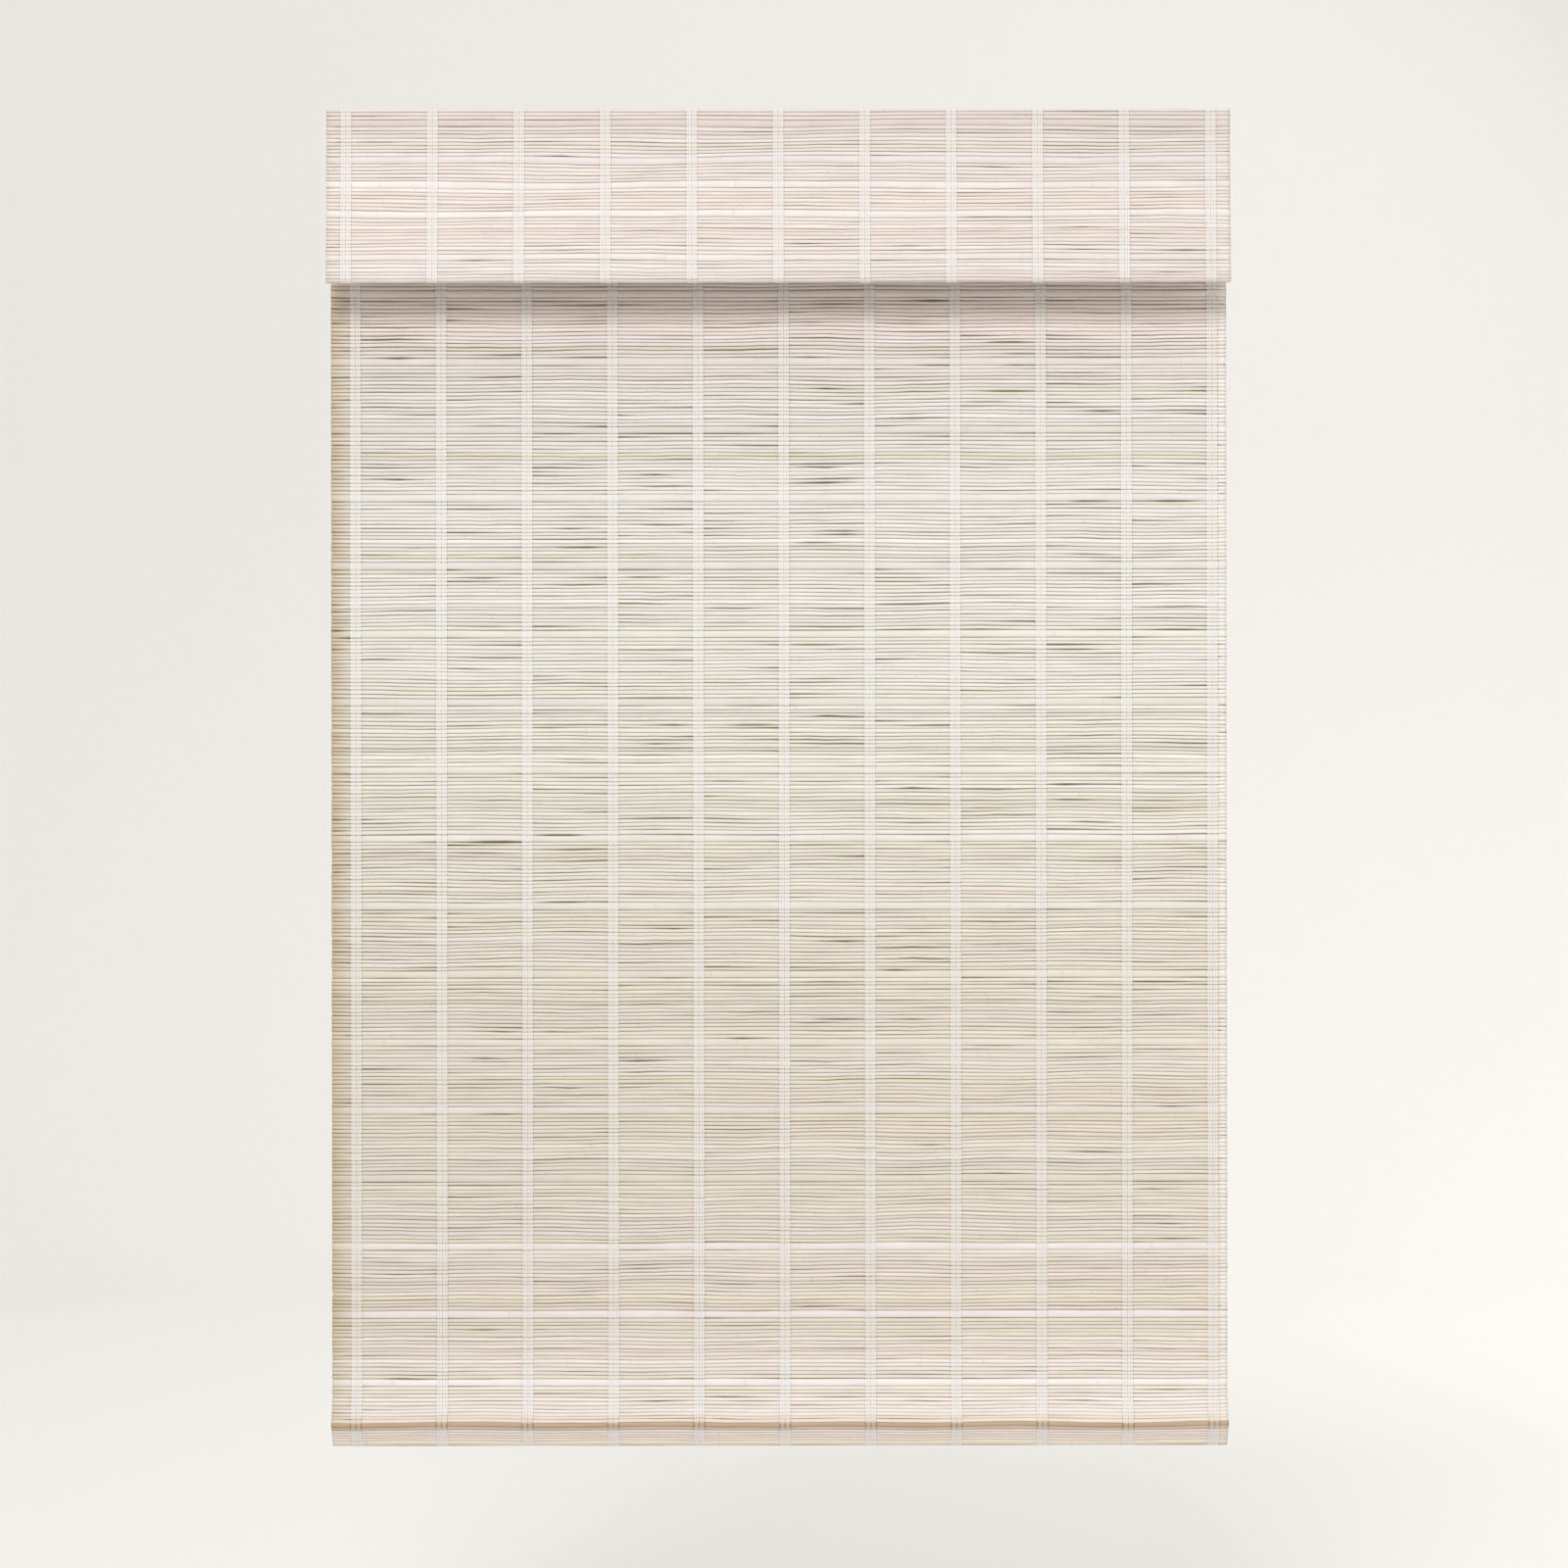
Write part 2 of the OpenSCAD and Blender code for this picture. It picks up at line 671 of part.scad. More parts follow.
// The spring crosses from one coil to the other, because the drums turn opposite ways
module motor_spring() {
    storage = [-2 * gear_r, 0];
    output_turn_r = coil_output_r - spring_t / 4;
    storage_turn_r = coil_storage_r - spring_t / 4;
    cross = acos(-(output_turn_r + storage_turn_r - spring_t) / (2 * gear_r));
    normal = [cos(cross), sin(cross)];
    leave = output_turn_r * normal;
    arrive = storage - storage_turn_r * normal;
    color(steel_colour) translate([motor_x, shaft_y, shaft_z]) union() {
        spring_coil(coil_output_r);
        translate([0, storage[0], storage[1]]) spring_coil(coil_storage_r);
        along_x(spring_w)
            polygon([leave, leave - spring_t * normal, arrive, arrive + spring_t * normal]);
    }
}

module spring_coil(r) {
    along_x(spring_w) difference() {
        circle(r);
        circle(drum_r + spring_fit);
    }
}

module motor_case() {
    height = motor_top - rail_floor;
    color(plastic_colour) translate([motor_x, 0, 0]) difference() {
        translate([-motor_out, -motor_side, rail_floor]) cube([2 * motor_out, 2 * motor_side, height]);
        translate([-motor_in, -motor_side + motor_wall, rail_floor + floor_t])
            cube([2 * motor_in, 2 * (motor_side - motor_wall), height]);
        translate([0, shaft_y, shaft_z]) along_x(4 * motor_out) circle(journal_r + run_fit);
        translate([0, shaft_y - 2 * gear_r, shaft_z]) along_x(4 * motor_out) circle(axle_r + axle_fit);
    }
}

module motor_cover() {
    color(plastic_colour) translate([motor_x, 0, 0]) difference() {
        translate([-motor_out, -motor_side, motor_top]) cube([2 * motor_out, 2 * motor_side, cover_t]);
        for (x = [-motor_in / 2, 0, motor_in / 2])
            translate([x - motor_wall, -slot_half, cover_top - cover_groove_d])
                cube([2 * motor_wall, 2 * slot_half, 2 * cover_groove_d]);
    }
}

// Rings sewn on the bands behind the mat, for the cords that run through them
module cord_rings(i) {
    tube_r = ring_tube / 2;
    middle_r = ring_od / 2 - tube_r;
    color(plastic_colour)
        for (x = cord_xs)
            translate([x + warp_shift, mat_y + band_out + rest_fit + ring_od / 2, fold_z(2 * i) + ring_up])
                rotate_extrude() translate([middle_r, 0]) circle(tube_r);
}

headrail();
end_cap_left();
end_cap_right();
bracket(-bracket_x);  // bracket_left
bracket(bracket_x);  // bracket_right
spool_cradle(-cord_x);  // spool_cradle_left
spool_cradle(0);  // spool_cradle_centre
spool_cradle(cord_x);  // spool_cradle_right
motor_case();
motor_cover();
motor_spring();
storage_axle();
mat_hook_tape();
mat_loop_tape();
valance_hook_tape();
valance_loop_tape();
valance_mat();
valance_warp();
mat_head();
warp_head();
lift_shaft();
spool(-cord_x);  // spool_left
spool(0);  // spool_centre
spool(cord_x);  // spool_right
motor_output_drum();
motor_storage_drum();
for (i = panels) {
    mat_panel(i);
    warp_panel(i);
}
for (i = ring_rows)
    cord_rings(i);
mat_tail();
warp_tail();
bottom_bar();
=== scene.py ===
import json
import math

import bpy
import numpy as np
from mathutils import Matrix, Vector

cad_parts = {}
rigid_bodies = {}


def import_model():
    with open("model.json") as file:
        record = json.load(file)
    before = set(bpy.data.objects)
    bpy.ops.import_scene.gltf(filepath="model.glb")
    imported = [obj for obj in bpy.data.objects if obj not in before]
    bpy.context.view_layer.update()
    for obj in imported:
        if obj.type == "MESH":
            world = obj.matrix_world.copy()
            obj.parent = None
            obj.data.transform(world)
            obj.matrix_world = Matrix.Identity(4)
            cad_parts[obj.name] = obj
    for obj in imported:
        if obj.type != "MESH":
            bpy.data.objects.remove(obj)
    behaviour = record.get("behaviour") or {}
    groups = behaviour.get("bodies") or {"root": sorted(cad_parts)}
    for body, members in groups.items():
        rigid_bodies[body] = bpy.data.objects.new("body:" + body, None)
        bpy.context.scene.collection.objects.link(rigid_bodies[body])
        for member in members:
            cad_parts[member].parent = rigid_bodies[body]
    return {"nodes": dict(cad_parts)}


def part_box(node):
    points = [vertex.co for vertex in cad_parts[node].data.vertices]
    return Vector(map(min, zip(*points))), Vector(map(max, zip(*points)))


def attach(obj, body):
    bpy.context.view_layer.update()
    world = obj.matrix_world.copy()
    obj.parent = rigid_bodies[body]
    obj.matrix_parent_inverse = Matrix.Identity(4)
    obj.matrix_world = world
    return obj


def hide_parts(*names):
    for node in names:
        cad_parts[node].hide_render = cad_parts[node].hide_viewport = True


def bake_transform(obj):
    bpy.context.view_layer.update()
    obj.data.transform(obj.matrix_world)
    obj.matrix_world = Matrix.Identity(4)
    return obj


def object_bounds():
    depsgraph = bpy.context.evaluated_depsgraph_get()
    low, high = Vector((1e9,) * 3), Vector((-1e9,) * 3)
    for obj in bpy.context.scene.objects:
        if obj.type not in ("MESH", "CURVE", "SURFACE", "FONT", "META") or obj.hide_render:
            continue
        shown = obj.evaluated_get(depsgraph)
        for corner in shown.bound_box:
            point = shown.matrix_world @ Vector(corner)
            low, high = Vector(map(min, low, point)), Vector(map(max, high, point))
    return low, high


for old in list(bpy.data.objects):  # start from an empty scene
    bpy.data.objects.remove(old)
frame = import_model()
nodes = frame["nodes"]
cadLow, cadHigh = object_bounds()
mm = 0.001


# camera, straight on, a touch right of the middle
photoView = {
    "lens": 101.9,
    "sensor": 36.0,
    "place": (0.0043, -3.89, -0.5888),
    "roll": 0.08,  # degrees
    "clipEnd": 60.0,
}
cameraData = bpy.data.cameras.new("photoCamera")
cameraData.lens = photoView["lens"]
cameraData.sensor_width = photoView["sensor"]
cameraData.clip_end = photoView["clipEnd"]
camera = bpy.data.objects.new("photoCamera", cameraData)
camera.location = photoView["place"]
camera.rotation_euler = (math.radians(90), math.radians(photoView["roll"]), 0)
bpy.context.scene.collection.objects.link(camera)
bpy.context.scene.camera = camera
bpy.context.scene.view_settings.view_transform = "Standard"


# small helpers for colours, meshes and nodes
def paint(red, green, blue):
    # a colour picked in sRGB, 0 to 255, as the linear one that Blender takes
    c = np.array([red, green, blue], float) / 255
    return np.where(c <= 0.04045, c / 12.92, ((c + 0.055) / 1.055) ** 2.4)


def newMesh(name, points, corners, starts):
    mesh = bpy.data.meshes.new(name)
    mesh.vertices.add(len(points))
    mesh.vertices.foreach_set("co", (points * mm).astype(np.float32).ravel())
    mesh.loops.add(len(corners))
    mesh.loops.foreach_set("vertex_index", corners.astype(np.int32))
    mesh.polygons.add(len(starts))
    mesh.polygons.foreach_set("loop_start", starts.astype(np.int32))
    mesh.update(calc_edges=True)
    return mesh


def joinMaps(*parts):
    # pairs of u and v, one after another
    return np.concatenate([np.stack(part, -1).reshape(-1, 2) for part in parts])


def addUv(mesh, name, uv):
    layer = mesh.uv_layers.new(name=name, do_init=False)
    layer.uv.foreach_set("vector", uv.astype(np.float32).ravel())


def addPointColors(mesh, name, colors):
    layer = mesh.attributes.new(name, "FLOAT_COLOR", "POINT")
    layer.data.foreach_set("color", colors.astype(np.float32).ravel())


def addObject(name, mesh, *materials):
    thing = bpy.data.objects.new(name, mesh)
    for material in materials:
        mesh.materials.append(material)
    bpy.context.scene.collection.objects.link(thing)
    return thing


def newMaterial(name):
    material = bpy.data.materials.new(name)
    material.use_nodes = True
    tree = material.node_tree
    return material, tree, tree.nodes["Principled BSDF"]


def wire(tree, node, inputs):
    # an input takes a link from another node, or a plain value
    for key, value in inputs.items():
        if isinstance(value, bpy.types.NodeSocket):
            tree.links.new(value, node.inputs[key])
        else:
            node.inputs[key].default_value = value


def addNode(tree, kind, inputs=None, **settings):
    node = tree.nodes.new(kind)
    for key, value in settings.items():
        setattr(node, key, value)
    wire(tree, node, inputs or {})
    return node


def objectPlace(tree):
    return addNode(tree, "ShaderNodeTexCoord").outputs["Object"]


def noise(tree, vector, stretch, detail=3.0, rough=0.55):
    spread = addNode(tree, "ShaderNodeMapping", {"Vector": vector, "Scale": stretch})
    made = addNode(
        tree,
        "ShaderNodeTexNoise",
        {"Vector": spread.outputs["Vector"], "Scale": 1.0, "Detail": detail, "Roughness": rough},
    )
    return made.outputs["Fac"]


def cells(tree, vector, scale):
    made = addNode(tree, "ShaderNodeTexVoronoi", {"Vector": vector, "Scale": scale})
    return made.outputs["Distance"]


def ranged(tree, value, low, high, fromLow=0.0, fromHigh=1.0):
    made = addNode(
        tree,
        "ShaderNodeMapRange",
        {"Value": value, "From Min": fromLow, "From Max": fromHigh, "To Min": low, "To Max": high},
    )
    return made.outputs["Result"]


def opaque(color):
    # a plain colour gets its alpha, a socket stays as it is
    if isinstance(color, bpy.types.NodeSocket):
        return color
    return (*[float(v) for v in color], 1.0)


def mixed(tree, factor, first, second, blend="MIX"):
    made = addNode(tree, "ShaderNodeMix", data_type="RGBA", blend_type=blend)
    wire(tree, made, {0: factor, 6: opaque(first), 7: opaque(second)})
    return made.outputs[2]


def maths(tree, operation, first, second=0.0):
    made = addNode(tree, "ShaderNodeMath", {0: first, 1: second}, operation=operation)
    return made.outputs[0]


def summed(tree, first, firstShare, second, secondShare):
    parts = ((first, firstShare), (second, secondShare))
    return maths(tree, "ADD", *[maths(tree, "MULTIPLY", *part) for part in parts])


def bumped(tree, shader, height, strength, distance):
    made = addNode(
        tree, "ShaderNodeBump", {"Height": height, "Strength": strength, "Distance": distance}
    )
    tree.links.new(made.outputs["Normal"], shader.inputs["Normal"])


# white-washed reed: colour comes with the mesh, grain and knots run along each reed
washedReed = {
    "blotch": (22, 0.9, 1),
    "blotchShare": 0.6,
    "fibre": (70, 26, 1),
    "fibreShare": 0.4,
    "grain": (0.90, 1.07),
    "grainFrom": (0.25, 0.75),
    "knotEvery": 0.31,  # metres
    "knotWidth": 0.0016,
    "knot": paint(205, 183, 146),
    "knotShows": 0.2,
    "knotRise": 0.8,
    "rough": (0.50, 0.68),
    "roughFrom": (0.3, 0.7),
    "gloss": 0.3,
    "bump": (0.35, 0.00025),
}


def makeReedMaterial():
    look = washedReed
    material, tree, shader = newMaterial("washedReed")
    place = addNode(tree, "ShaderNodeUVMap", uv_map="reedMap").outputs["UV"]
    seed = addNode(tree, "ShaderNodeUVMap", uv_map="reedSeed").outputs["UV"]
    tint = addNode(tree, "ShaderNodeAttribute", attribute_name="reedColor").outputs["Color"]
    along = addNode(tree, "ShaderNodeSeparateXYZ", {"Vector": place}).outputs["X"]
    shift = addNode(tree, "ShaderNodeSeparateXYZ", {"Vector": seed}).outputs["X"]
    blotch = noise(tree, place, look["blotch"], detail=2)
    fibre = noise(tree, place, look["fibre"], detail=4, rough=0.6)
    grain = summed(tree, blotch, look["blotchShare"], fibre, look["fibreShare"])
    tone = ranged(tree, grain, *look["grain"], *look["grainFrom"])
    grey = addNode(tree, "ShaderNodeCombineColor", {"Red": tone, "Green": tone, "Blue": tone})
    washed = mixed(tree, 1.0, tint, grey.outputs["Color"], "MULTIPLY")
    # a knot is a thin ring where the cane had a joint
    turns = maths(tree, "DIVIDE", along, look["knotEvery"])
    phase = maths(tree, "FRACT", maths(tree, "ADD", turns, shift))
    away = maths(tree, "ABSOLUTE", maths(tree, "SUBTRACT", phase, 0.5))
    ring = ranged(tree, away, 1.0, 0.0, 0.0, look["knotWidth"] / look["knotEvery"])
    wire(tree, shader, {
        "Base Color": mixed(tree, maths(tree, "MULTIPLY", ring, look["knotShows"]), washed, look["knot"]),
        "Roughness": ranged(tree, fibre, *look["rough"], *look["roughFrom"]),
        "Specular IOR Level": look["gloss"],
    })
    bumped(tree, shader, summed(tree, fibre, 1.0, ring, look["knotRise"]), *look["bump"])
    return material


# raw cane at the cut ends, with the pores of its fibres
cutCane = {
    "pores": 2600.0,
    "poreEdge": (0.15, 0.55),
    "pore": paint(150, 112, 70),
    "paintedTone": (120, 120, 120),
    "raw": (paint(196, 158, 108), paint(228, 200, 158)),
    "rough": 0.75,
    "gloss": 0.2,
    "bump": (0.4, 0.0002),
}


def makeCutMaterial():
    look = cutCane
    material, tree, shader = newMaterial("cutCane")
    place = objectPlace(tree)
    spot = ranged(tree, cells(tree, place, look["pores"]), 0.0, 1.0, *look["poreEdge"])
    raw = mixed(tree, noise(tree, place, look["paintedTone"]), *look["raw"])
    wire(tree, shader, {
        "Base Color": mixed(tree, spot, look["pore"], raw),
        "Roughness": look["rough"],
        "Specular IOR Level": look["gloss"],
    })
    bumped(tree, shader, spot, *look["bump"])
    return material


# soft two-ply cotton: the twist runs slantwise round the thread
cottonThread = {
    "twist": {"Scale": 1.0, "Distortion": 1.2, "Detail": 2.0, "Detail Scale": 3.0},
    "plies": (paint(255, 254, 255), paint(249, 250, 252)),
    "plyShows": 0.6,
    "fuzz": (3, 3, 3),
    "fuzzColor": paint(252, 252, 255),
    "fuzzShows": 0.35,
    "fuzzRise": 0.6,
    "rough": 0.85,
    "gloss": 0.2,
    "sheen": 0.12,
    "bump": (0.5, 0.0002),
}


def makeThreadMaterial():
    look = cottonThread
    material, tree, shader = newMaterial("cottonThread")
    place = addNode(tree, "ShaderNodeUVMap", uv_map="threadMap").outputs["UV"]
    tint = addNode(tree, "ShaderNodeAttribute", attribute_name="threadTint").outputs["Color"]
    twist = addNode(
        tree,
        "ShaderNodeTexWave",
        {"Vector": place, **look["twist"]},
        wave_type="BANDS",
        bands_direction="DIAGONAL",
    ).outputs["Fac"]
    fuzz = noise(tree, place, look["fuzz"], detail=4, rough=0.7)
    shade = mixed(tree, ranged(tree, twist, 0.0, look["plyShows"]), *look["plies"])
    shade = mixed(tree, ranged(tree, fuzz, 0.0, look["fuzzShows"]), shade, look["fuzzColor"])
    wire(tree, shader, {
        "Base Color": mixed(tree, 1.0, shade, tint, "MULTIPLY"),
        "Roughness": look["rough"],
        "Specular IOR Level": look["gloss"],
        "Sheen Weight": look["sheen"],
    })
    bumped(tree, shader, summed(tree, twist, 1.0, fuzz, look["fuzzRise"]), *look["bump"])
    return material


reedFinish = makeReedMaterial()
cutFinish = makeCutMaterial()
threadFinish = makeThreadMaterial()
print("reed and thread finishes made")


# bends of a hanging mat: (length, turn) one after another, a turn above 0 swings forward
def walkPath(bends, s):
    s = np.asarray(s, float)
    y, z, angle = np.zeros_like(s), np.zeros_like(s), np.zeros_like(s)
    startY = startZ = startA = startS = 0.0
    for index, (length, turn) in enumerate(bends):
        last = index == len(bends) - 1
        inside = (s >= startS) | (index == 0)
        if not last:
            inside = inside & (s < startS + length)
        gone = s - startS
        turned = math.radians(turn) * gone / length
        chord = gone * np.sinc(turned / 2 / math.pi)
        y = np.where(inside, startY - chord * np.sin(startA + turned / 2), y)
        z = np.where(inside, startZ - chord * np.cos(startA + turned / 2), z)
        angle = np.where(inside, startA + turned, angle)
        whole = math.radians(turn)
        reach = length * np.sinc(whole / 2 / math.pi)
        startY -= reach * math.sin(startA + whole / 2)
        startZ -= reach * math.cos(startA + whole / 2)
        startA += whole
        startS += length
    return y, z, angle


def onPath(mat, x, s, n):
    # a point of the mat: x across, s down the mat, n in front of its middle
    y, z, angle = walkPath(mat["bends"], s)
    y = mat["y"] + y - n * np.cos(angle)
    z = mat["top"] + z + n * np.sin(angle)
    return np.stack([np.broadcast_to(x, y.shape), y, z], -1)


# warp bands across the mat in mm, and the stations along each reed
bands = {
    "count": 11,
    "inset": 17.25,
    "half": 5.4,
    "stations": (0.25, 0.5, 0.75),  # of a span from band to band
    "endStation": 4,  # in from an end
    "endFree": 0.3,  # how freely an end bows, when the middle of a span has 1
    "bareFrom": -1,  # beyond the last band
    "bareOver": 3,
}
blindHalf = (cadHigh.x - cadLow.x) / 2 / mm
bandPitch = 2 * (blindHalf - bands["inset"]) / (bands["count"] - 1)

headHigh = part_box("mat_head")[1]
panelLow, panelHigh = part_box("mat_panel_1")
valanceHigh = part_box("valance_mat")[1]

hangingMat = {
    "y": (panelLow.y + panelHigh.y) / 2 / mm,
    "top": headHigh.z / mm + 0.15,  # the first reed stands a touch over its solid
    "pitch": 3.322,
    "bandShift": 4.5,  # its bands stand right of the middle
    "head": 40,  # reed places over the first fold
    "panel": 36,  # reed places from fold to fold
    "panels": 8,
    "tail": 32,
    "slats": (16, 34),  # places of the wide slats in a panel
    "tailBends": [(31, 38), (6, -77), (20, 0), (15.5, -154), (37, 0)],
    "bendReach": 2,  # reed places over and under a fold that bend with it
    "seed": 31,
    "washes": [
        paint(243, 239, 231), paint(244, 235, 230), paint(241, 237, 219),
        paint(249, 247, 243), paint(232, 226, 217),
    ],
    "shares": [0.35, 0.17, 0.16, 0.24, 0.08],
    "tintAndPaintedShadeAt": (0.0, 0.115, 0.165, 0.25, 0.35, 0.47, 0.61, 0.76, 0.865, 0.93, 1.0),
    "tintAndPaintedShade": [  # painted shade and tint down the drop, red, green and blue: the wash is darker under the valance and in the lower middle and paler at the foot, standing in for how the light falls there
        (0.95, 0.978, 0.912, 0.95, 0.947, 0.947, 0.912, 0.89, 0.933, 1.03, 1.03),
        (0.921, 0.893, 0.907, 0.95, 0.967, 0.953, 0.897, 0.863, 0.893, 1.0, 1.0),
        (0.941, 0.898, 0.959, 0.985, 0.985, 0.955, 0.88, 0.845, 0.88, 1.025, 1.025),
    ],
    "across": 0.035,  # the right is a little paler than the left, a painted light across the mat
    "bareEnds": (1.0, 0.85),  # left and right: the left ends take more tan than the right
    "slatPale": 1.0,
    "highlightFrom": 1010,  # mm down the mat, from where the slats take a whiter wash, a painted highlight
    "calmAt": (0.0, 0.3, 0.6, 0.72, 0.9),
    "calm": (1.25, 1.15, 1.08, 0.84, 0.80),  # how strongly the grooves show down the drop
    "apronCalm": (-30, 0.65),  # from where after the lip, in mm, and how strongly from there on
    "hemCalm": (-4, 0.22),
    "lipShadeAndHemLight": [  # from and to in mm after the lip, a wash and how much of it shows: painted shadow on and under the lip, painted light on the hem below it, and a tan line round the bottom turn
        (-14, -4.5, paint(184, 148, 110), 0.12),
        (-4.5, -1.0, paint(184, 148, 110), 0.80),
        (-1.0, 2.0, paint(160, 130, 104), 0.50),
        (2.0, 19.0, paint(248, 236, 228), 0.95),
        (19.0, 22.8, paint(252, 240, 226), 0.95),
        (22.8, 26.0, paint(212, 180, 134), 0.80),
    ],
    # how much of a reed's own wash shows on the threads over it, most of all at the lip, so the painted
    # shade and tint of the reeds also lie on the threads
    "sheerAt": (0.15, 0.25, 0.35, 0.60, 0.88, 0.915, 0.934, 0.939, 0.944, 0.949),
    "sheer": (0.58, 0.42, 0.36, 0.52, 0.60, 0.34, 0.60, 0.95, 0.95, 0.40),
}
valanceMat = {
    "y": -25.67,
    "top": valanceHigh.z / mm,
    "pitch": 3.17,
    "bandShift": 0.0,
    "places": 61,
    "slats": (3, 13, 20, 28, 40),
    "bends": [(27, 0), (30, 4), (90.62, 0), (10.053, -180), (36, 0)],
    "seed": 8,
    "washes": [
        paint(246, 238, 232), paint(247, 235, 231), paint(244, 238, 226),
        paint(251, 248, 245), paint(235, 227, 222),
    ],
    "shares": [0.38, 0.24, 0.12, 0.18, 0.08],
    "tintAndPaintedShadeAt": (0.0, 0.12, 0.30, 1.0),
    # painted shade: the valance is darker towards its top edge
    "tintAndPaintedShade": [
        (0.83, 0.87, 0.935, 0.935),
        (0.79, 0.84, 0.926, 0.926),
        (0.81, 0.86, 0.942, 0.942),
    ],
    # a painted light across the valance, the left a touch paler
    "across": -0.01,
    "bareEnds": (0.2, 0.1),
    "slatPale": 0.6,
    "highlightFrom": 1000,
    "calm": 0.62,
    "edgeCalm": (-6, 0.45),  # from where after the lower edge, in mm, and how strongly
    "paintedShadeAndLight": [],
    "sheerAt": (0.0, 1.0),
    "sheer": (0.58, 0.58),
}
reedShape = {
    "half": 1.2,  # from the middle of the mat to a crest
    "crestWander": 0.04,
    "crestRange": (-0.1, 0.06),
    "edge": 0.62,  # height of the front edges
    "seam": -0.45,  # depth at which two reeds touch
    "seamGap": 0.01,
    "back": -1.12,
    "shoulder": 0.20,  # of a reed's width
    "slatShoulder": 0.11,
    "backShoulder": 0.16,
    "widthWander": 0.27,
    "widthMost": 0.42,
    "bow": 0.24,
    "waves": 6,
    "drape": 0.26,  # height of these waves, which run over the whole mat
    "waveLong": (130, 460),
    "waveTall": (50, 240),
    "heldReach": 14,  # mm over which the bow fades out towards a fold, a cut or an edge
    "tilt": 0.05,
    "slatTilt": 0.3,  # of a reed's
    "endWander": 0.0006,  # of the half width
}
# grooves between reeds: a faint line along each, and places in a span that gape and take a painted shade
reedGroove = {
    "line": (0.14, 0.56),
    "lineSpread": (1.5, 2.0),
    "gape": 1.06,
    "gapeSpread": (1.05, 3.0),
    "gapeMiddle": (-0.2, 1.2),  # in a span from 0 to 1
    "gapeReach": (0.2, 0.8),
    "besideSlat": 1.15,
    "lensShare": 0.02,  # of the spans with a short opening, given a painted shade
    "lens": 0.95,
    "lensMiddle": (0.3, 0.7),
    "lensReach": 0.3,
    "rightEnd": 0.45,
    "gapShadeFrom": 0.16,
    "gapShadeOver": 0.90,
    # painted shade in a groove where it gapes
    "gapShade": paint(116, 104, 46),
    "rim": (0.20, 0.46),  # share of bare cane on the front edges
}
# how the wash differs from reed to reed and along each
reedWash = {
    "ownShare": 0.6,  # of a reed's main wash; two others share the rest, left and right
    "turnOver": (-0.3, 1.3),
    "turnShift": 0.5,
    "slat": paint(249, 246, 245),
    "slatSpread": (0.75, 1.3),
    "slatHighlight": 0.95,
    "slatDull": 0.045,  # a slat has no grooves, so less wash
    "reedTone": (0.022, 0.93, 1.05),  # spread, least and most
    "spotTone": (0.010, 0.96, 1.04),
    "backGain": 0.99,
    "backBare": 0.14,
    "endTan": paint(205, 189, 163),
    "endPale": paint(253, 249, 245),
    "endShows": (0.6, 1.0),
    "endFadeAt": (0.85, 0.93),  # down the drop
    "endFade": (1.0, 0.5),
    "seams": [paint(195, 181, 136), paint(170, 165, 112), paint(178, 160, 130)],
    "seamShares": [1.0, 0.9, 0.9],
    "seamTone": (0.88, 1.08),
}
# a reed's strip and its cut ends in the maps, as shares of its row and of the map's width
reedLayout = {
    "rowFrom": 0.06,
    "rowOver": 0.88,
    "reedFrom": 0.015,
    "reedOver": 0.97,
    "capMiddle": 0.006,
    "capHalf": 0.005,
    "capTall": 0.4,
    "capShift": 0.988,
}


def spreadStations(mat):
    # across the mat: its ends, both sides of each band, and three places in each span
    bandXs = mat["bandShift"] + (np.arange(bands["count"]) - (bands["count"] - 1) / 2) * bandPitch
    side = bands["half"]
    span = bandPitch - 2 * side
    inner = blindHalf - bands["endStation"]
    xs = [-blindHalf, -inner]
    for index, x in enumerate(bandXs):
        xs += [x - side, x + side]
        if index < len(bandXs) - 1:
            xs += [x + side + span * part for part in bands["stations"]]
    xs = np.array(xs + [inner, blindHalf])
    spanOf = np.searchsorted(bandXs, xs)
    edges = np.concatenate([[-blindHalf], bandXs, [blindHalf]])
    fromBand = np.abs(xs[:, None] - bandXs[None, :]).min(1)
    beyond = np.where(xs < 0, bandXs[0] - side - xs, xs - bandXs[-1] - side)
    free = np.clip((fromBand - side) / (span / 2), 0, 1)
    bare = np.clip((beyond - bands["bareFrom"]) / bands["bareOver"], 0, 1)
    mat["bandXs"] = bandXs
    mat["xs"] = xs
    mat["spanOf"] = spanOf
    mat["part"] = (xs - edges[spanOf]) / (edges[spanOf + 1] - edges[spanOf])  # 0 to 1 over a span
    mat["free"] = np.where(beyond > 0, bands["endFree"], free)
    mat["bare"] = bare * np.where(xs < 0, *mat["bareEnds"])
    mat["bandStations"] = np.searchsorted(xs, bandXs) - 1


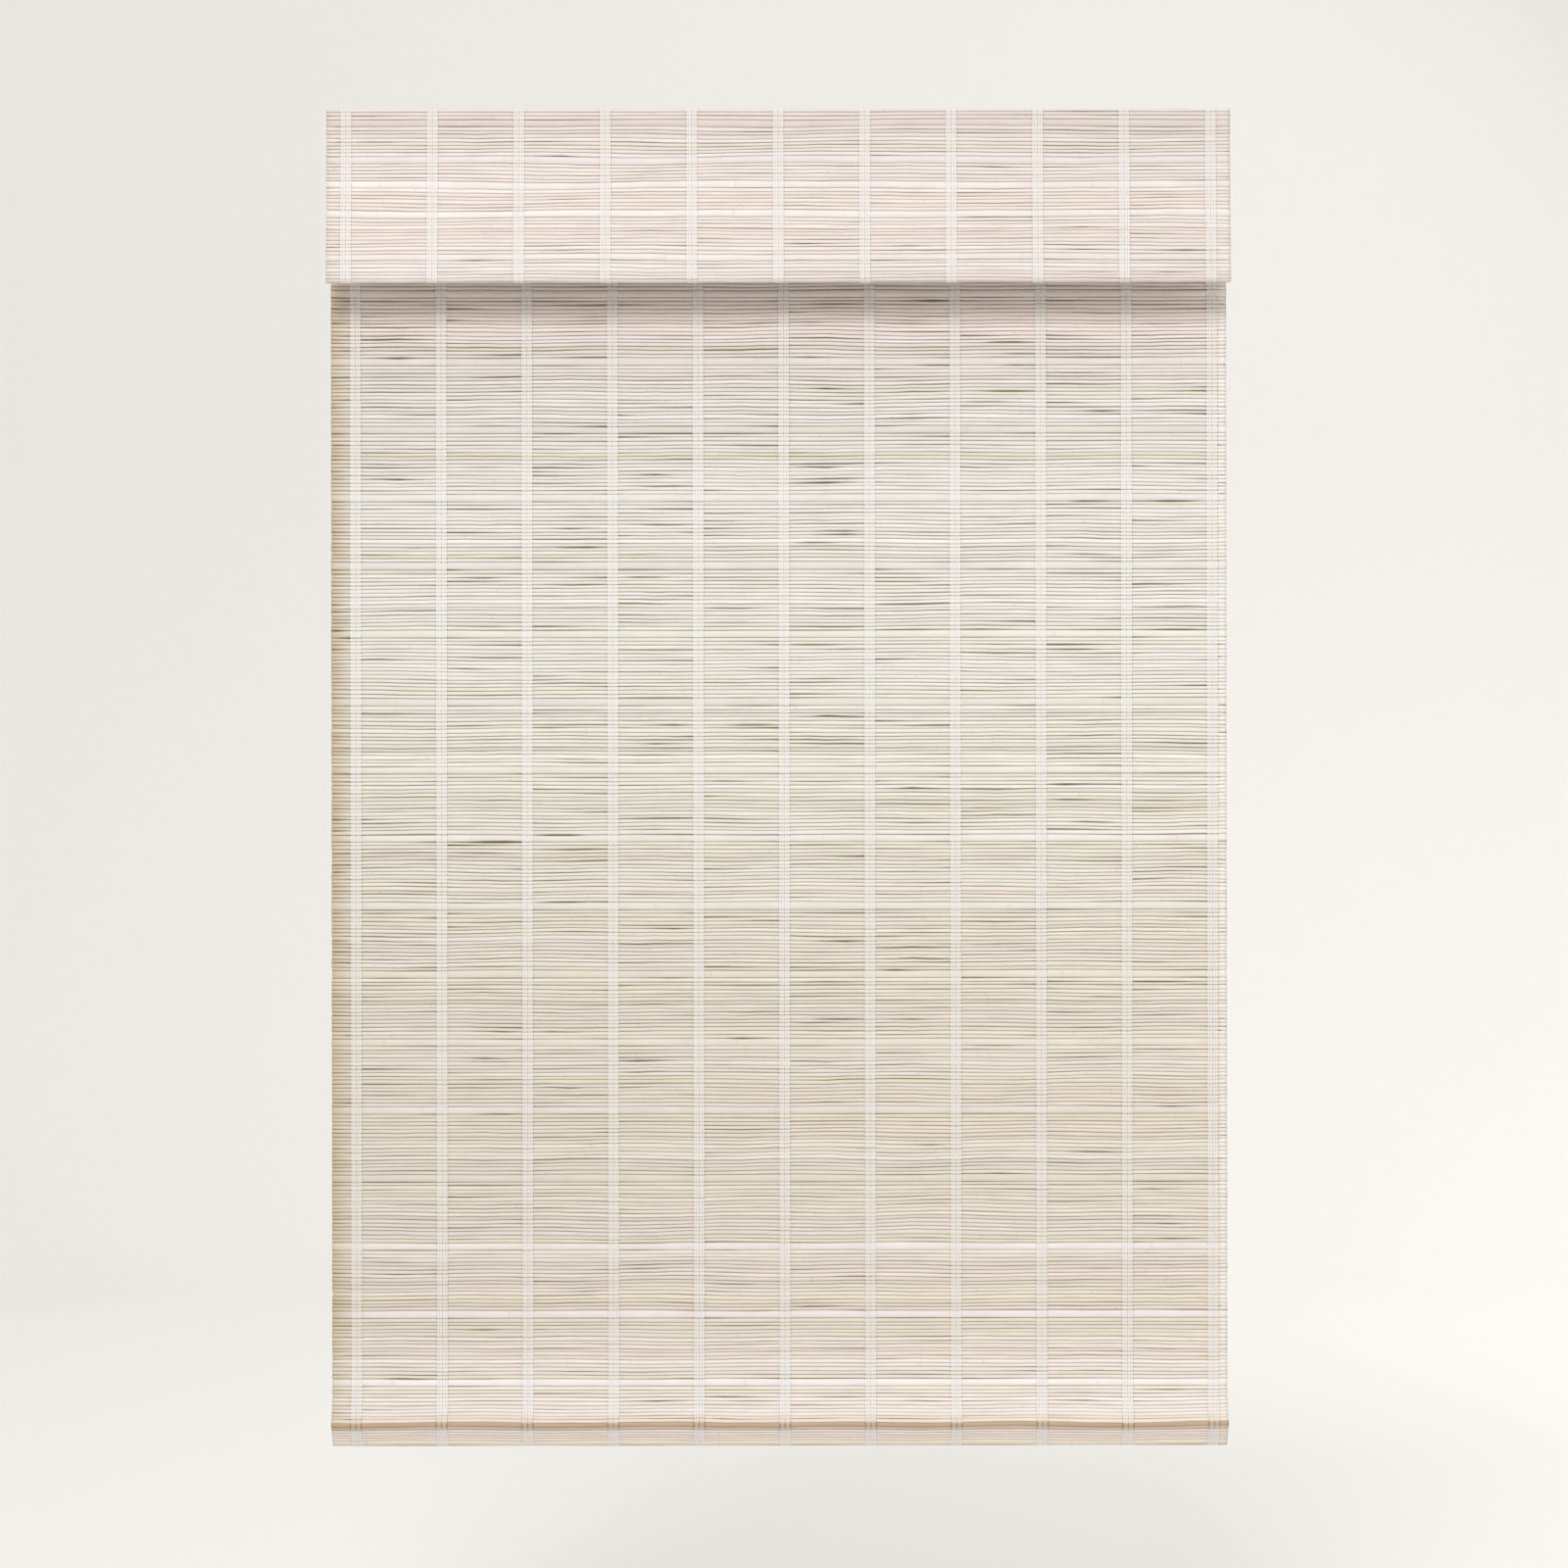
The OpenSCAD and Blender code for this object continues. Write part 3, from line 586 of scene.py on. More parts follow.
def openGrooves(mat, rng, seams, wide, calm):
    # how far each groove gapes, span by span, and how much painted shade it takes there
    spanOf, part = mat["spanOf"], mat["part"][None, :]
    shape = (len(seams), bands["count"] + 1)
    low, high = reedGroove["line"]
    line = low + (high - low) * rng.beta(*reedGroove["lineSpread"], (len(seams), 1))
    size = reedGroove["gape"] * rng.beta(*reedGroove["gapeSpread"], shape)
    middle = rng.uniform(*reedGroove["gapeMiddle"], shape)[:, spanOf]
    reach = rng.uniform(*reedGroove["gapeReach"], shape)[:, spanOf]
    lens = reedGroove["lens"] * (rng.random(shape) < reedGroove["lensShare"])
    fromLens = np.abs(part - rng.uniform(*reedGroove["lensMiddle"], shape)[:, spanOf])
    gape = size[:, spanOf] * np.exp(-(((part - middle) / reach) ** 2))
    gape += lens[:, spanOf] * np.clip(1 - fromLens / reedGroove["lensReach"], 0, 1)
    beside = np.append(wide, False) | np.insert(wide, 0, False)
    gape *= np.where(beside, reedGroove["besideSlat"], 1.0)[:, None]
    shows = calm(seams)[:, None]
    gape *= shows
    gapShade = np.clip((gape - reedGroove["gapShadeFrom"]) / reedGroove["gapShadeOver"], 0, 1)
    atRight = np.where(spanOf == bands["count"], reedGroove["rightEnd"], 1.0)
    return line * shows * atRight + gape * atRight, gapShade


def layReeds(mat, places, slats, fixed, calm):
    # seams between reeds in mm down the mat, with the wander of each seam and its groove
    spreadStations(mat)
    xs = mat["xs"]
    rng = np.random.default_rng(mat["seed"])
    starts = [p for p in range(places + 1) if p - 1 not in slats]
    seams = np.array(starts, float) * mat["pitch"]
    most = reedShape["widthMost"]
    wander = np.clip(rng.normal(0, reedShape["widthWander"], len(seams)), -most, most)
    held = np.isin(starts, list(fixed) + [0, places])
    seams = seams + np.where(held, 0, wander)
    wide = np.diff(starts) > 1
    # each span bows a little on its own, and long waves run over all of them
    bow = rng.normal(0, reedShape["bow"], (len(seams), len(xs))) * mat["free"]
    bow[1:-1] = (bow[:-2] + 2 * bow[1:-1] + bow[2:]) / 3
    for wave in range(reedShape["waves"]):
        long, tall = rng.uniform(*reedShape["waveLong"]), rng.uniform(*reedShape["waveTall"])
        turns = xs[None, :] / long + seams[:, None] / tall + rng.uniform(0, 1)
        bow += reedShape["drape"] * np.sin(2 * math.pi * turns)
    fromHeld = np.abs(seams[:, None] - seams[held][None, :]).min(1)
    bow *= np.clip(fromHeld / reedShape["heldReach"], 0, 1)[:, None]
    groove, gapShade = openGrooves(mat, rng, seams, wide, calm)
    return {
        "rng": rng, "lines": seams[:, None] + bow, "groove": groove, "gapShade": gapShade,
        "wide": wide, "starts": starts,
    }


def reedPoints(laid, mat):
    # eight points round each reed: four in front and four behind, from its upper edge down and back
    rng = laid["rng"]
    a, b = laid["lines"][:-1], laid["lines"][1:]
    ga, gb = laid["groove"][:-1] / 2, laid["groove"][1:] / 2
    wide = laid["wide"][:, None]
    count = len(a)
    width = b - a
    shoulder = np.where(wide, reedShape["slatShoulder"], reedShape["shoulder"]) * width
    higher = np.clip(rng.normal(0, reedShape["crestWander"], (count, 1)), *reedShape["crestRange"])
    tilt = np.where(wide, reedShape["slatTilt"], 1) * rng.normal(0, reedShape["tilt"], (count, 1))
    crest = np.broadcast_to(reedShape["half"] + higher, a.shape)
    edge, seam, back = [np.full_like(a, reedShape[key]) for key in ("edge", "seam", "back")]
    gap, turn = reedShape["seamGap"], reedShape["backShoulder"] * width
    front = [a + ga, a + ga + shoulder, b - gb - shoulder, b - gb]
    behind = [b - gap, b - turn, a + turn, a + gap]
    s = np.stack(front + behind, -1)
    n = np.stack([edge, crest, crest, edge, seam, back, back, seam], -1)
    middle = ((a + b) / 2)[..., None]
    n = n + tilt[..., None] * (s - middle) * np.array([1, 1, 1, 1, 0, 0, 0, 0])
    x = np.broadcast_to(mat["xs"][None, :, None], s.shape)
    # the cut ends don't all come to one line
    shorter = np.abs(rng.normal(0, reedShape["endWander"], (count, 1, 1)))
    x = x * (1 - shorter * np.isclose(np.abs(x), blindHalf))
    return onPath(mat, x, s, n)


def drawTone(rng, tone, shape):
    spread, least, most = tone
    return np.clip(rng.normal(1, spread, shape), least, most)


def washReeds(laid, mat, middle):
    # the wash of each reed from its left end to its right
    rng, wide = laid["rng"], laid["wide"]
    count, across = len(wide), len(mat["xs"])
    washes = np.array(mat["washes"])
    pick = rng.choice(len(washes), count, p=mat["shares"])
    other = rng.choice(len(washes), (count, 2), p=mat["shares"])
    shift = rng.uniform(-reedWash["turnShift"], reedWash["turnShift"], (count, 1))
    turn = np.clip(np.linspace(*reedWash["turnOver"], across)[None, :] + shift, 0, 1)[..., None]
    left, right = washes[other[:, 0]][:, None, :], washes[other[:, 1]][:, None, :]
    own = reedWash["ownShare"]
    wash = washes[pick][:, None, :] * own + (1 - own) * (left * (1 - turn) + right * turn)
    pale = mat["slatPale"] * rng.beta(*reedWash["slatSpread"], count)
    # low on the mat the slats take a painted highlight
    pale = np.where(middle > mat["highlightFrom"], reedWash["slatHighlight"], pale)
    pale = (pale * wide)[:, None, None]
    plain = wide[:, None, None] - pale
    wash = wash * (1 - pale - reedWash["slatDull"] * plain) + reedWash["slat"] * pale
    wash = wash * drawTone(rng, reedWash["reedTone"], (count, 1, 1))
    wash = wash * drawTone(rng, reedWash["spotTone"], (count, across, 1))
    # a painted light that pales the mat from left to right
    return wash * (1 + mat["across"] * mat["xs"][None, :, None] / blindHalf)


def bareSeams(laid):
    # bare cane in the grooves, with painted shade where they gape
    rng, gapShade = laid["rng"], laid["gapShade"][..., None]
    blend = rng.dirichlet(reedWash["seamShares"], len(gapShade))
    bare = (blend @ np.array(reedWash["seams"]))[:, None, :]
    bare = bare * rng.uniform(*reedWash["seamTone"], (len(gapShade), 1, 1))
    return bare * (1 - gapShade) + reedGroove["gapShade"] * gapShade


def reedColors(laid, mat):
    middle = (laid["lines"][:-1].mean(1) + laid["lines"][1:].mean(1)) / 2
    drop = middle / middle[-1]
    wash = washReeds(laid, mat, middle)
    count, across = wash.shape[:2]
    # painted shade and tint down the drop, on the front points; the backs keep one gain
    tintAndPaintedShadeGains = np.stack([np.interp(drop, mat["tintAndPaintedShadeAt"], gain) for gain in mat["tintAndPaintedShade"]], -1)
    tan = mat["bare"][None, :, None] * laid["rng"].uniform(*reedWash["endShows"], (count, 1, 1))
    tan = tan * np.interp(drop, reedWash["endFadeAt"], reedWash["endFade"])[:, None, None]
    ends = np.where(mat["xs"][:, None] < 0, reedWash["endTan"], reedWash["endPale"])
    coats = []
    for gain in (tintAndPaintedShadeGains[:, None, :], reedWash["backGain"]):
        coat = wash * gain * (1 - tan) + ends * tan
        # painted shade and light in bands down the mat, such as the shadow under the lip
        for first, last, color, weight in mat["paintedShadeAndLight"]:
            here = (weight * ((middle > first) & (middle < last)))[:, None, None]
            coat = coat * (1 - here) + color * here
        coats += [coat] * 4  # four front points, then four behind
    bare = bareSeams(laid)
    upper, lower = bare[:-1], bare[1:]
    near = np.stack([upper, upper, lower, lower, lower, lower, upper, upper], 2)
    least, most = reedGroove["rim"]
    rim = least + (most - least) * laid["gapShade"]
    none, whole = np.zeros((count, across)), np.ones((count, across))
    thin = whole * reedWash["backBare"]
    bareness = np.stack([rim[:-1], none, none, rim[1:], whole, thin, thin, whole], -1)[..., None]
    color = np.stack(coats, 2) * (1 - bareness) + near * bareness
    full = np.ones((*color.shape[:3], 4))
    full[..., :3] = np.clip(color, 0, 1)
    return full


def mapReeds(mesh, mat, count, sides, rng):
    # maps: along the reed and round it, a seed for each reed, and rows for a bake
    lay = reedLayout
    row, step, side = np.indices((count, len(mat["xs"]) - 1, sides)).reshape(3, -1)
    stepCorner = np.stack([step, step, step + 1, step + 1], -1)
    sideCorner = np.stack([side, side + 1, side + 1, side], -1)
    alongReed = mat["xs"][stepCorner]
    roundReed = row[:, None] + lay["rowFrom"] + lay["rowOver"] * sideCorner / sides
    angle = np.arange(sides) / sides * 2 * math.pi
    capLeft = np.tile(lay["capMiddle"] + lay["capHalf"] * np.cos(angle), (count, 1))
    capU = np.concatenate([capLeft, lay["capShift"] + capLeft])
    capRow = np.tile(np.arange(count), 2)[:, None]
    capV = capRow + 0.5 + lay["capTall"] * np.sin(angle)[None, :]
    bakeU = lay["reedFrom"] + lay["reedOver"] * (alongReed + blindHalf) / (2 * blindHalf)
    seeds = rng.random((count, 2))
    capSeeds = np.repeat(np.tile(seeds, (2, 1)), sides, 0)
    addUv(mesh, "reedMap", joinMaps((alongReed * mm, roundReed), (capU, capV)))
    addUv(mesh, "reedSeed", np.concatenate([np.repeat(seeds[row], 4, 0), capSeeds]))
    addUv(mesh, "OFBake", joinMaps((bakeU, roundReed / count), (capU, capV / count)))


def buildReeds(name, mat, points, colors, rng):
    # reeds of one piece as a single mesh: tubes of eight sides with cut ends
    count, across, sides = points.shape[:3]
    index = np.arange(count * across * sides).reshape(count, across, sides)
    after = np.roll(index, -1, 2)
    quads = np.stack([index[:, :-1], after[:, :-1], after[:, 1:], index[:, 1:]], -1).reshape(-1, 4)
    caps = np.concatenate([index[:, 0, ::-1], index[:, -1, :]])
    corners = np.concatenate([quads.ravel(), caps.ravel()])
    capStarts = len(quads) * 4 + np.arange(len(caps)) * sides
    starts = np.concatenate([np.arange(len(quads)) * 4, capStarts])
    mesh = newMesh(name, points.reshape(-1, 3), corners, starts)
    flat = np.arange(len(starts)) >= len(quads)
    mesh.polygons.foreach_set("use_smooth", ~flat)
    mesh.polygons.foreach_set("material_index", flat.astype(np.int32))
    mapReeds(mesh, mat, count, sides, rng)
    addPointColors(mesh, "reedColor", colors)
    return addObject(name, mesh, reedFinish, cutFinish)


# four flat cotton threads a band follow the reeds in front, and two broader ones lie behind
warpThread = {
    "front": {
        "side": 1.0, "offsets": (-3.75, -1.25, 1.25, 3.75), "half": 1.36,
        "crest": 1.26, "dip": 1.02,
        # how strongly the reeds tint each thread, from its left edge to its right
        "coats": (
            (1.6, 1.3, 0.85, 0.85), (0.85, 0.85, 1.15, 1.5),
            (1.5, 1.15, 0.85, 0.85), (0.85, 0.85, 1.3, 1.6),
        ),
    },
    "back": {
        "side": -1.0, "offsets": (-2.30, 2.30), "half": 2.25,
        "crest": 1.22, "dip": 1.05,
        "coats": ((0.3, 0.3, 0.3, 0.3), (0.3, 0.3, 0.3, 0.3)),
    },
    "foot": 0.0,  # over the line that a thread follows
    "thick": 0.10,
    "flat": 0.7,  # of the half width
    "woven": 0.05,  # every other crest stands higher
    "shoulder": 0.8,  # from a seam to the crest
    "shoulderMost": 0.25,  # of a reed's width
    "sway": 0.04,
    "dipShade": 0.62,  # of a groove's colour painted on the dip over it, as painted shade where the thread sinks
    "openAt": 0.42,  # width of a groove that shows so much
    "openRange": (0.15, 1.3),
}
# the plain map's scales, and a thread's strip in the bake
threadLayout = {
    "along": 0.9,
    "apart": 3.1,
    "round": 0.5,
    "stripFrom": 0.08,
    "stripOver": 0.84,
    "runFrom": 0.005,
    "runOver": 0.99,
}


def threadCourse(seams, kind, turn):
    # down the mat: a dip at each seam, and a crest on each reed
    a, width = seams[:-1], np.diff(seams)
    rise = np.minimum(warpThread["shoulderMost"] * width, warpThread["shoulder"])
    stops = [a, a + rise, a + width - rise] if kind["side"] > 0 else [a, a + width / 2]
    s = np.append(np.stack(stops, -1).ravel(), seams[-1])
    high = kind["crest"] + warpThread["woven"] * ((np.arange(len(a)) + turn) % 2)
    n = np.repeat(high, len(stops))
    n[::len(stops)] = kind["dip"]
    return s, np.append(n, kind["dip"]) * kind["side"]


def toneThreads(mat, laid, colors):
    # the wash went on after weaving: reeds show faintly through the threads, and the dip over each groove
    # takes a painted shade
    at = mat["bandStations"]
    crest = (colors[:, at, 1, :3] + colors[:, at + 1, 2, :3]) / 2
    groove = np.concatenate([crest[:1], (colors[:, at, 4, :3] + colors[:, at + 1, 4, :3]) / 2])
    down = laid["lines"][1:, 0]
    sheer = np.interp(down / down[-1], mat["sheerAt"], mat["sheer"])[:, None, None]
    crest = 1 - sheer + sheer * crest
    beside = np.concatenate([crest[:1], (crest[:-1] + crest[1:]) / 2, crest[-1:]])
    gap = np.clip(laid["groove"][:, at] / warpThread["openAt"], *warpThread["openRange"])
    # painted shade in the dip over a groove
    dip = beside + warpThread["dipShade"] * gap[..., None] * (groove - beside)
    return {"seams": laid["lines"][:, at], "crest": crest, "dip": dip}


def listRuns(mat, first, last, backLast):
    # place across, band, end, kind and number of each thread
    runs = []
    for k, x in enumerate(mat["bandXs"]):
        for kind, end in ((warpThread["front"], last), (warpThread["back"], backLast)):
            if end > first:
                for t, offset in enumerate(kind["offsets"]):
                    runs.append((x + offset, k, end, kind, t))
    return runs


def threadRing(mat, x, s, n, kind, rng):
    # four points round a thread at each stop, square to its run
    side, half = kind["side"], kind["half"]
    foot, thick, flat = warpThread["foot"], warpThread["thick"], warpThread["flat"] * half
    sway = rng.normal(0, warpThread["sway"], len(s))
    runS, runN = np.gradient(s), np.gradient(n)
    runN[[0, -1]] = 0  # so that the next piece meets it squarely
    size = np.hypot(runS, runN)
    upS, upN = -runN / size * side, runS / size * side
    outline = ((-half, foot), (-flat, thick), (flat, thick), (half, foot))
    ring = [onPath(mat, x + sway + side * dx, s + dn * upS, n + dn * upN) for dx, dn in outline]
    return np.stack(ring, 1)


def mapThread(s, n, number, total):
    # along the thread and round it, and an upright strip for a bake; both ends come last
    lay = threadLayout
    step, edge = np.indices((len(s) - 1, 4))
    stepCorner = np.stack([step, step + 1, step + 1, step], -1).reshape(-1, 4)
    edgeCorner = np.stack([edge, edge, edge + 1, edge + 1], -1).reshape(-1, 4)
    length = np.concatenate([[0], np.cumsum(np.hypot(np.diff(s), np.diff(n)))])
    run = length[stepCorner]
    plain = joinMaps((run * lay["along"] + number * lay["apart"], edgeCorner * lay["round"]))
    strip = (number + lay["stripFrom"] + lay["stripOver"] * edgeCorner / 4) / total
    baked = joinMaps((strip, lay["runFrom"] + lay["runOver"] * run / length[-1]))
    return [np.concatenate([uv, uv[:4], uv[-4:]]) for uv in (plain, baked)]


def buildThreads(name, mat, toned, first, last, backCount, seed):
    # threads over the reeds from first to last; the ones behind end after backCount reeds
    rng = np.random.default_rng(seed)
    runs = listRuns(mat, first, last, first + backCount)
    points, tints, corners, flats, maps, bakes = [], [], [], [], [], []
    base = 0
    for number, (x, k, end, kind, t) in enumerate(runs):
        s, n = threadCourse(toned["seams"][first:end + 1, k], kind, first + t)
        tint = np.ones((len(s), 4))
        stops = (len(s) - 1) // (end - first)
        tint[:-1, :3] = np.repeat(toned["crest"][first:end, k], stops, 0)
        tint[::stops, :3] = toned["dip"][first:end + 1, k]
        coat = np.array(kind["coats"][t])[None, :, None]
        points.append(threadRing(mat, x, s, n, kind, rng).reshape(-1, 3))
        tints.append(np.clip(1 - coat + coat * tint[:, None, :], 0, 1).reshape(-1, 4))
        index = base + np.arange(len(s) * 4).reshape(len(s), 4)
        after = np.roll(index, -1, 1)
        quads = np.stack([index[:-1], index[1:], after[1:], after[:-1]], -1).reshape(-1, 4)
        corners += [quads, index[:1], index[-1:, ::-1]]
        flats += [np.arange(len(quads)) % 4 == 3, np.ones(2, bool)]
        plain, baked = mapThread(s, n, number, len(runs))
        maps.append(plain)
        bakes.append(baked)
        base += len(s) * 4
    corners = np.concatenate(corners)
    mesh = newMesh(name, np.concatenate(points), corners.ravel(), np.arange(len(corners)) * 4)
    mesh.polygons.foreach_set("use_smooth", ~np.concatenate(flats))
    addUv(mesh, "threadMap", np.concatenate(maps))
    addUv(mesh, "OFBake", np.concatenate(bakes))
    addPointColors(mesh, "threadTint", np.concatenate(tints))
    return addObject(name, mesh, threadFinish)


# the hanging mat, cut into pieces half way between folds so that each holds one fold
def hangMat():
    mat = hangingMat
    straight = mat["head"] + mat["panel"] * mat["panels"]
    places = straight + mat["tail"]
    straightLength = straight * mat["pitch"]
    mat["bends"] = [(straightLength, 0)] + mat["tailBends"]
    folds = [mat["head"] + mat["panel"] * k for k in range(mat["panels"] + 1)]
    cuts = [0] + [fold + mat["panel"] // 2 for fold in folds[:-1]] + [places]
    slats = [straight + mat["slats"][0]]
    for fold in [mat["head"] - mat["panel"]] + folds[:-1]:
        slats += [fold + p for p in mat["slats"]]
    tail = [length for length, turn in mat["tailBends"]]
    lip = straightLength + sum(tail[:2])
    flap = lip + tail[2] + tail[3] / 2  # half way round the bottom
    # painted shadow on and under the lip and painted light on the hem, placed from the lip down
    mat["paintedShadeAndLight"] = [(lip + start, lip + end, *paintedTone) for start, end, *paintedTone in mat["lipShadeAndHemLight"]]

    def calm(seams):
        # the hem is pulled tight, so its grooves hardly show
        apronFrom, apronShows = mat["apronCalm"]
        hemFrom, hemShows = mat["hemCalm"]
        shows = np.interp(seams / seams[-1], mat["calmAt"], mat["calm"])
        shows = np.where(seams > lip + apronFrom, apronShows, shows)
        return np.where((seams > lip + hemFrom) & (seams < flap), hemShows, shows)

    laid = layReeds(mat, places, slats, folds + cuts, calm)
    points = reedPoints(laid, mat)
    colors = reedColors(laid, mat)
    toned = toneThreads(mat, laid, colors)
    starts = np.array(laid["starts"])
    panels = [f"panel_{k + 1}" for k in range(mat["panels"])]
    parts = ["head"] + panels + ["tail"]
    made = []
    for k, fold in enumerate(folds):
        first, last = np.searchsorted(starts, [cuts[k], cuts[k + 1]])
        reeds = buildReeds(f"matReeds{k}", mat, points[first:last], colors[first:last], laid["rng"])
        behind = min(last, np.searchsorted(starts, straight)) - first
        threads = buildThreads(f"matThreads{k}", mat, toned, first, last, behind, mat["seed"] + k)
        for piece, slotName, node in ((reeds, "reed", "mat_"), (threads, "thread", "warp_")):
            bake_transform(piece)
            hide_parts(node + parts[k], node + parts[k + 1])
            made.append(piece)
    return made


matPieces = hangMat()
print("hanging mat:", len(matPieces), "pieces")


# the valance in front of the headrail: one piece that turns up behind its lower edge
def hangValance():
    mat = valanceMat
    face = sum(length for length, turn in mat["bends"][:3])

    def calm(seams):
        edgeFrom, edgeShows = mat["edgeCalm"]
        return np.where(seams > face + edgeFrom, edgeShows, mat["calm"])

    laid = layReeds(mat, mat["places"], mat["slats"], [], calm)
    points = reedPoints(laid, mat)
    colors = reedColors(laid, mat)
    toned = toneThreads(mat, laid, colors)
    reeds = buildReeds("valanceReeds", mat, points, colors, laid["rng"])
    behind = int(np.searchsorted(toned["seams"][:, 0], face)) - 1
    threads = buildThreads("valanceThreads", mat, toned, 0, len(points), behind, mat["seed"])
    for piece, slotName, node in ((reeds, "reed", "valance_mat"), (threads, "thread", "valance_warp")):
        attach(piece, "headrail_unit")
        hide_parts(node)
    return [reeds, threads]


valancePieces = hangValance()
print("valance:", len(valancePieces), "pieces")


# finishes of the rail, its hardware and the cord rings, on the solids themselves
finishes = {
    "powderCoat": {
        "nodes": ["headrail"],
        "tones": (paint(236, 236, 232), paint(245, 245, 242)),
        "cloud": ((9, 30, 30), 3),  # stretch and detail
        "grain": ((900, 900, 900), 2),
        "rough": (0.34, 0.50),
        "bump": (0.12, 0.0002),
        "more": {},
    },
    "mouldedPlastic": {
        "nodes": [
            "end_cap_left", "end_cap_right",
            "spool_cradle_left", "spool_cradle_centre", "spool_cradle_right",
            "spool_left", "spool_centre", "spool_right",
            "motor_case", "motor_cover", "motor_output_drum", "motor_storage_drum",
        ],
        "tones": (paint(217, 219, 216), paint(229, 231, 228)),
        "cloud": ((60, 140, 140), 3),
        "grain": ((1400, 1400, 1400), 2),
        "rough": (0.36, 0.54),
        "bump": (0.15, 0.0001),
        "more": {},
    },
    "zincSteel": {
        "nodes": ["bracket_left", "bracket_right", "lift_shaft", "storage_axle"],
        "tones": (paint(176, 178, 181), paint(206, 207, 208)),
        "cloud": ((110, 110, 110), 4),
        "grain": ((40, 1500, 1500), 3),
        "rough": (0.26, 0.46),
        "bump": (0.1, 0.0001),
        "more": {"Metallic": 1.0},
    },
    "springSteel": {
        "nodes": ["motor_spring"],
        "tones": (paint(104, 107, 116), paint(142, 142, 144)),
        "cloud": ((160, 160, 160), 3),
        "grain": ((25, 900, 900), 3),
        "rough": (0.22, 0.40),
        "bump": None,
        "more": {"Metallic": 1.0},
    },
    "nylonRing": {
        "nodes": ["cord_rings_1", "cord_rings_2", "cord_rings_3", "cord_rings_4"],
        "tones": (paint(228, 227, 221), paint(242, 241, 236)),
        "cloud": ((260, 260, 260), 3),
        "grain": ((260, 260, 260), 3),
        "rough": (0.24, 0.36),
        "bump": None,
        "more": {"Subsurface Weight": 0.15, "Subsurface Scale": 0.002},
    },
}


def makeFinish(name, look):
    # two tones in soft clouds, and a finer grain that roughens the surface
    material, tree, shader = newMaterial(name)
    place = objectPlace(tree)
    cloud = noise(tree, place, *look["cloud"])
    grain = noise(tree, place, *look["grain"])
    wire(tree, shader, {
        "Base Color": mixed(tree, cloud, *look["tones"]),
        "Roughness": ranged(tree, grain, *look["rough"]),
        **look["more"],
    })
    if look["bump"]:
        bumped(tree, shader, grain, *look["bump"])
    return material


# rows of tiny hooks or a felt of loops, on a woven white ground
tapes = {
    "hookTape": {
        "nodes": ["mat_hook_tape", "valance_hook_tape"],
        "pile": 1100.0,
        "tones": (paint(205, 204, 199), paint(240, 240, 236)),
        "bump": (0.6, 0.0004),
    },
    "loopTape": {
        "nodes": ["mat_loop_tape", "valance_loop_tape"],
        "pile": 700.0,
        "tones": (paint(216, 214, 208), paint(244, 243, 239)),
        "bump": (0.8, 0.0004),
    },
}
tapeCloth = {
    "pileShare": 0.7,
    "fuzz": (1500, 1500, 1500),
    "fuzzShare": 0.4,
    "rough": 0.9,
    "sheen": 0.15,
}


def makeTape(name, look):
    material, tree, shader = newMaterial(name)
    place = objectPlace(tree)
    pile = cells(tree, place, look["pile"])
    fuzz = noise(tree, place, tapeCloth["fuzz"])
    tone = summed(tree, pile, tapeCloth["pileShare"], fuzz, tapeCloth["fuzzShare"])
    wire(tree, shader, {
        "Base Color": mixed(tree, tone, *look["tones"]),
        "Roughness": tapeCloth["rough"],
        "Sheen Weight": tapeCloth["sheen"],
    })
    bumped(tree, shader, tone, *look["bump"])
    return material


# the bar in the hem is bare wood
rawBar = {
    "nodes": ["bottom_bar"],
    "grain": (9, 420, 420),
    "grainShare": 0.7,
    "bend": (3, 40, 40),
    "bendShare": 0.3,
    "wood": (paint(176, 143, 99), paint(214, 187, 145)),
    "woodFrom": (0.3, 0.7),
    "pores": (60, 1600, 1600),
    "poreFrom": (0.5, 0.75),
    "pore": paint(128, 98, 62),
    "poreShows": 0.35,
    "rough": (0.55, 0.75),
    "bump": (0.25, 0.0003),
}


def makeRawBar(look):
    material, tree, shader = newMaterial("rawBar")
    place = objectPlace(tree)
    grain = noise(tree, place, look["grain"], detail=4, rough=0.6)
    bend = noise(tree, place, look["bend"], detail=2)
    pores = noise(tree, place, look["pores"], detail=2)
    tone = summed(tree, grain, look["grainShare"], bend, look["bendShare"])
    wood = mixed(tree, ranged(tree, tone, 0.0, 1.0, *look["woodFrom"]), *look["wood"])
    spots = ranged(tree, pores, 0.0, look["poreShows"], *look["poreFrom"])
    wire(tree, shader, {
        "Base Color": mixed(tree, spots, wood, look["pore"]),
        "Roughness": ranged(tree, grain, *look["rough"]),
    })
    bumped(tree, shader, tone, *look["bump"])
    return material


def dress(material, look):
    for nodeName in look["nodes"]:
        mesh = nodes[nodeName].data
        mesh.materials.clear()
        mesh.materials.append(material)
    return len(look["nodes"])


dressed = dress(makeRawBar(rawBar), rawBar)
for finishName, finish in finishes.items():
    dressed += dress(makeFinish(finishName, finish), finish)
for tapeName, tape in tapes.items():
    dressed += dress(makeTape(tapeName, tape), tape)
print("hardware finished:", dressed, "nodes")


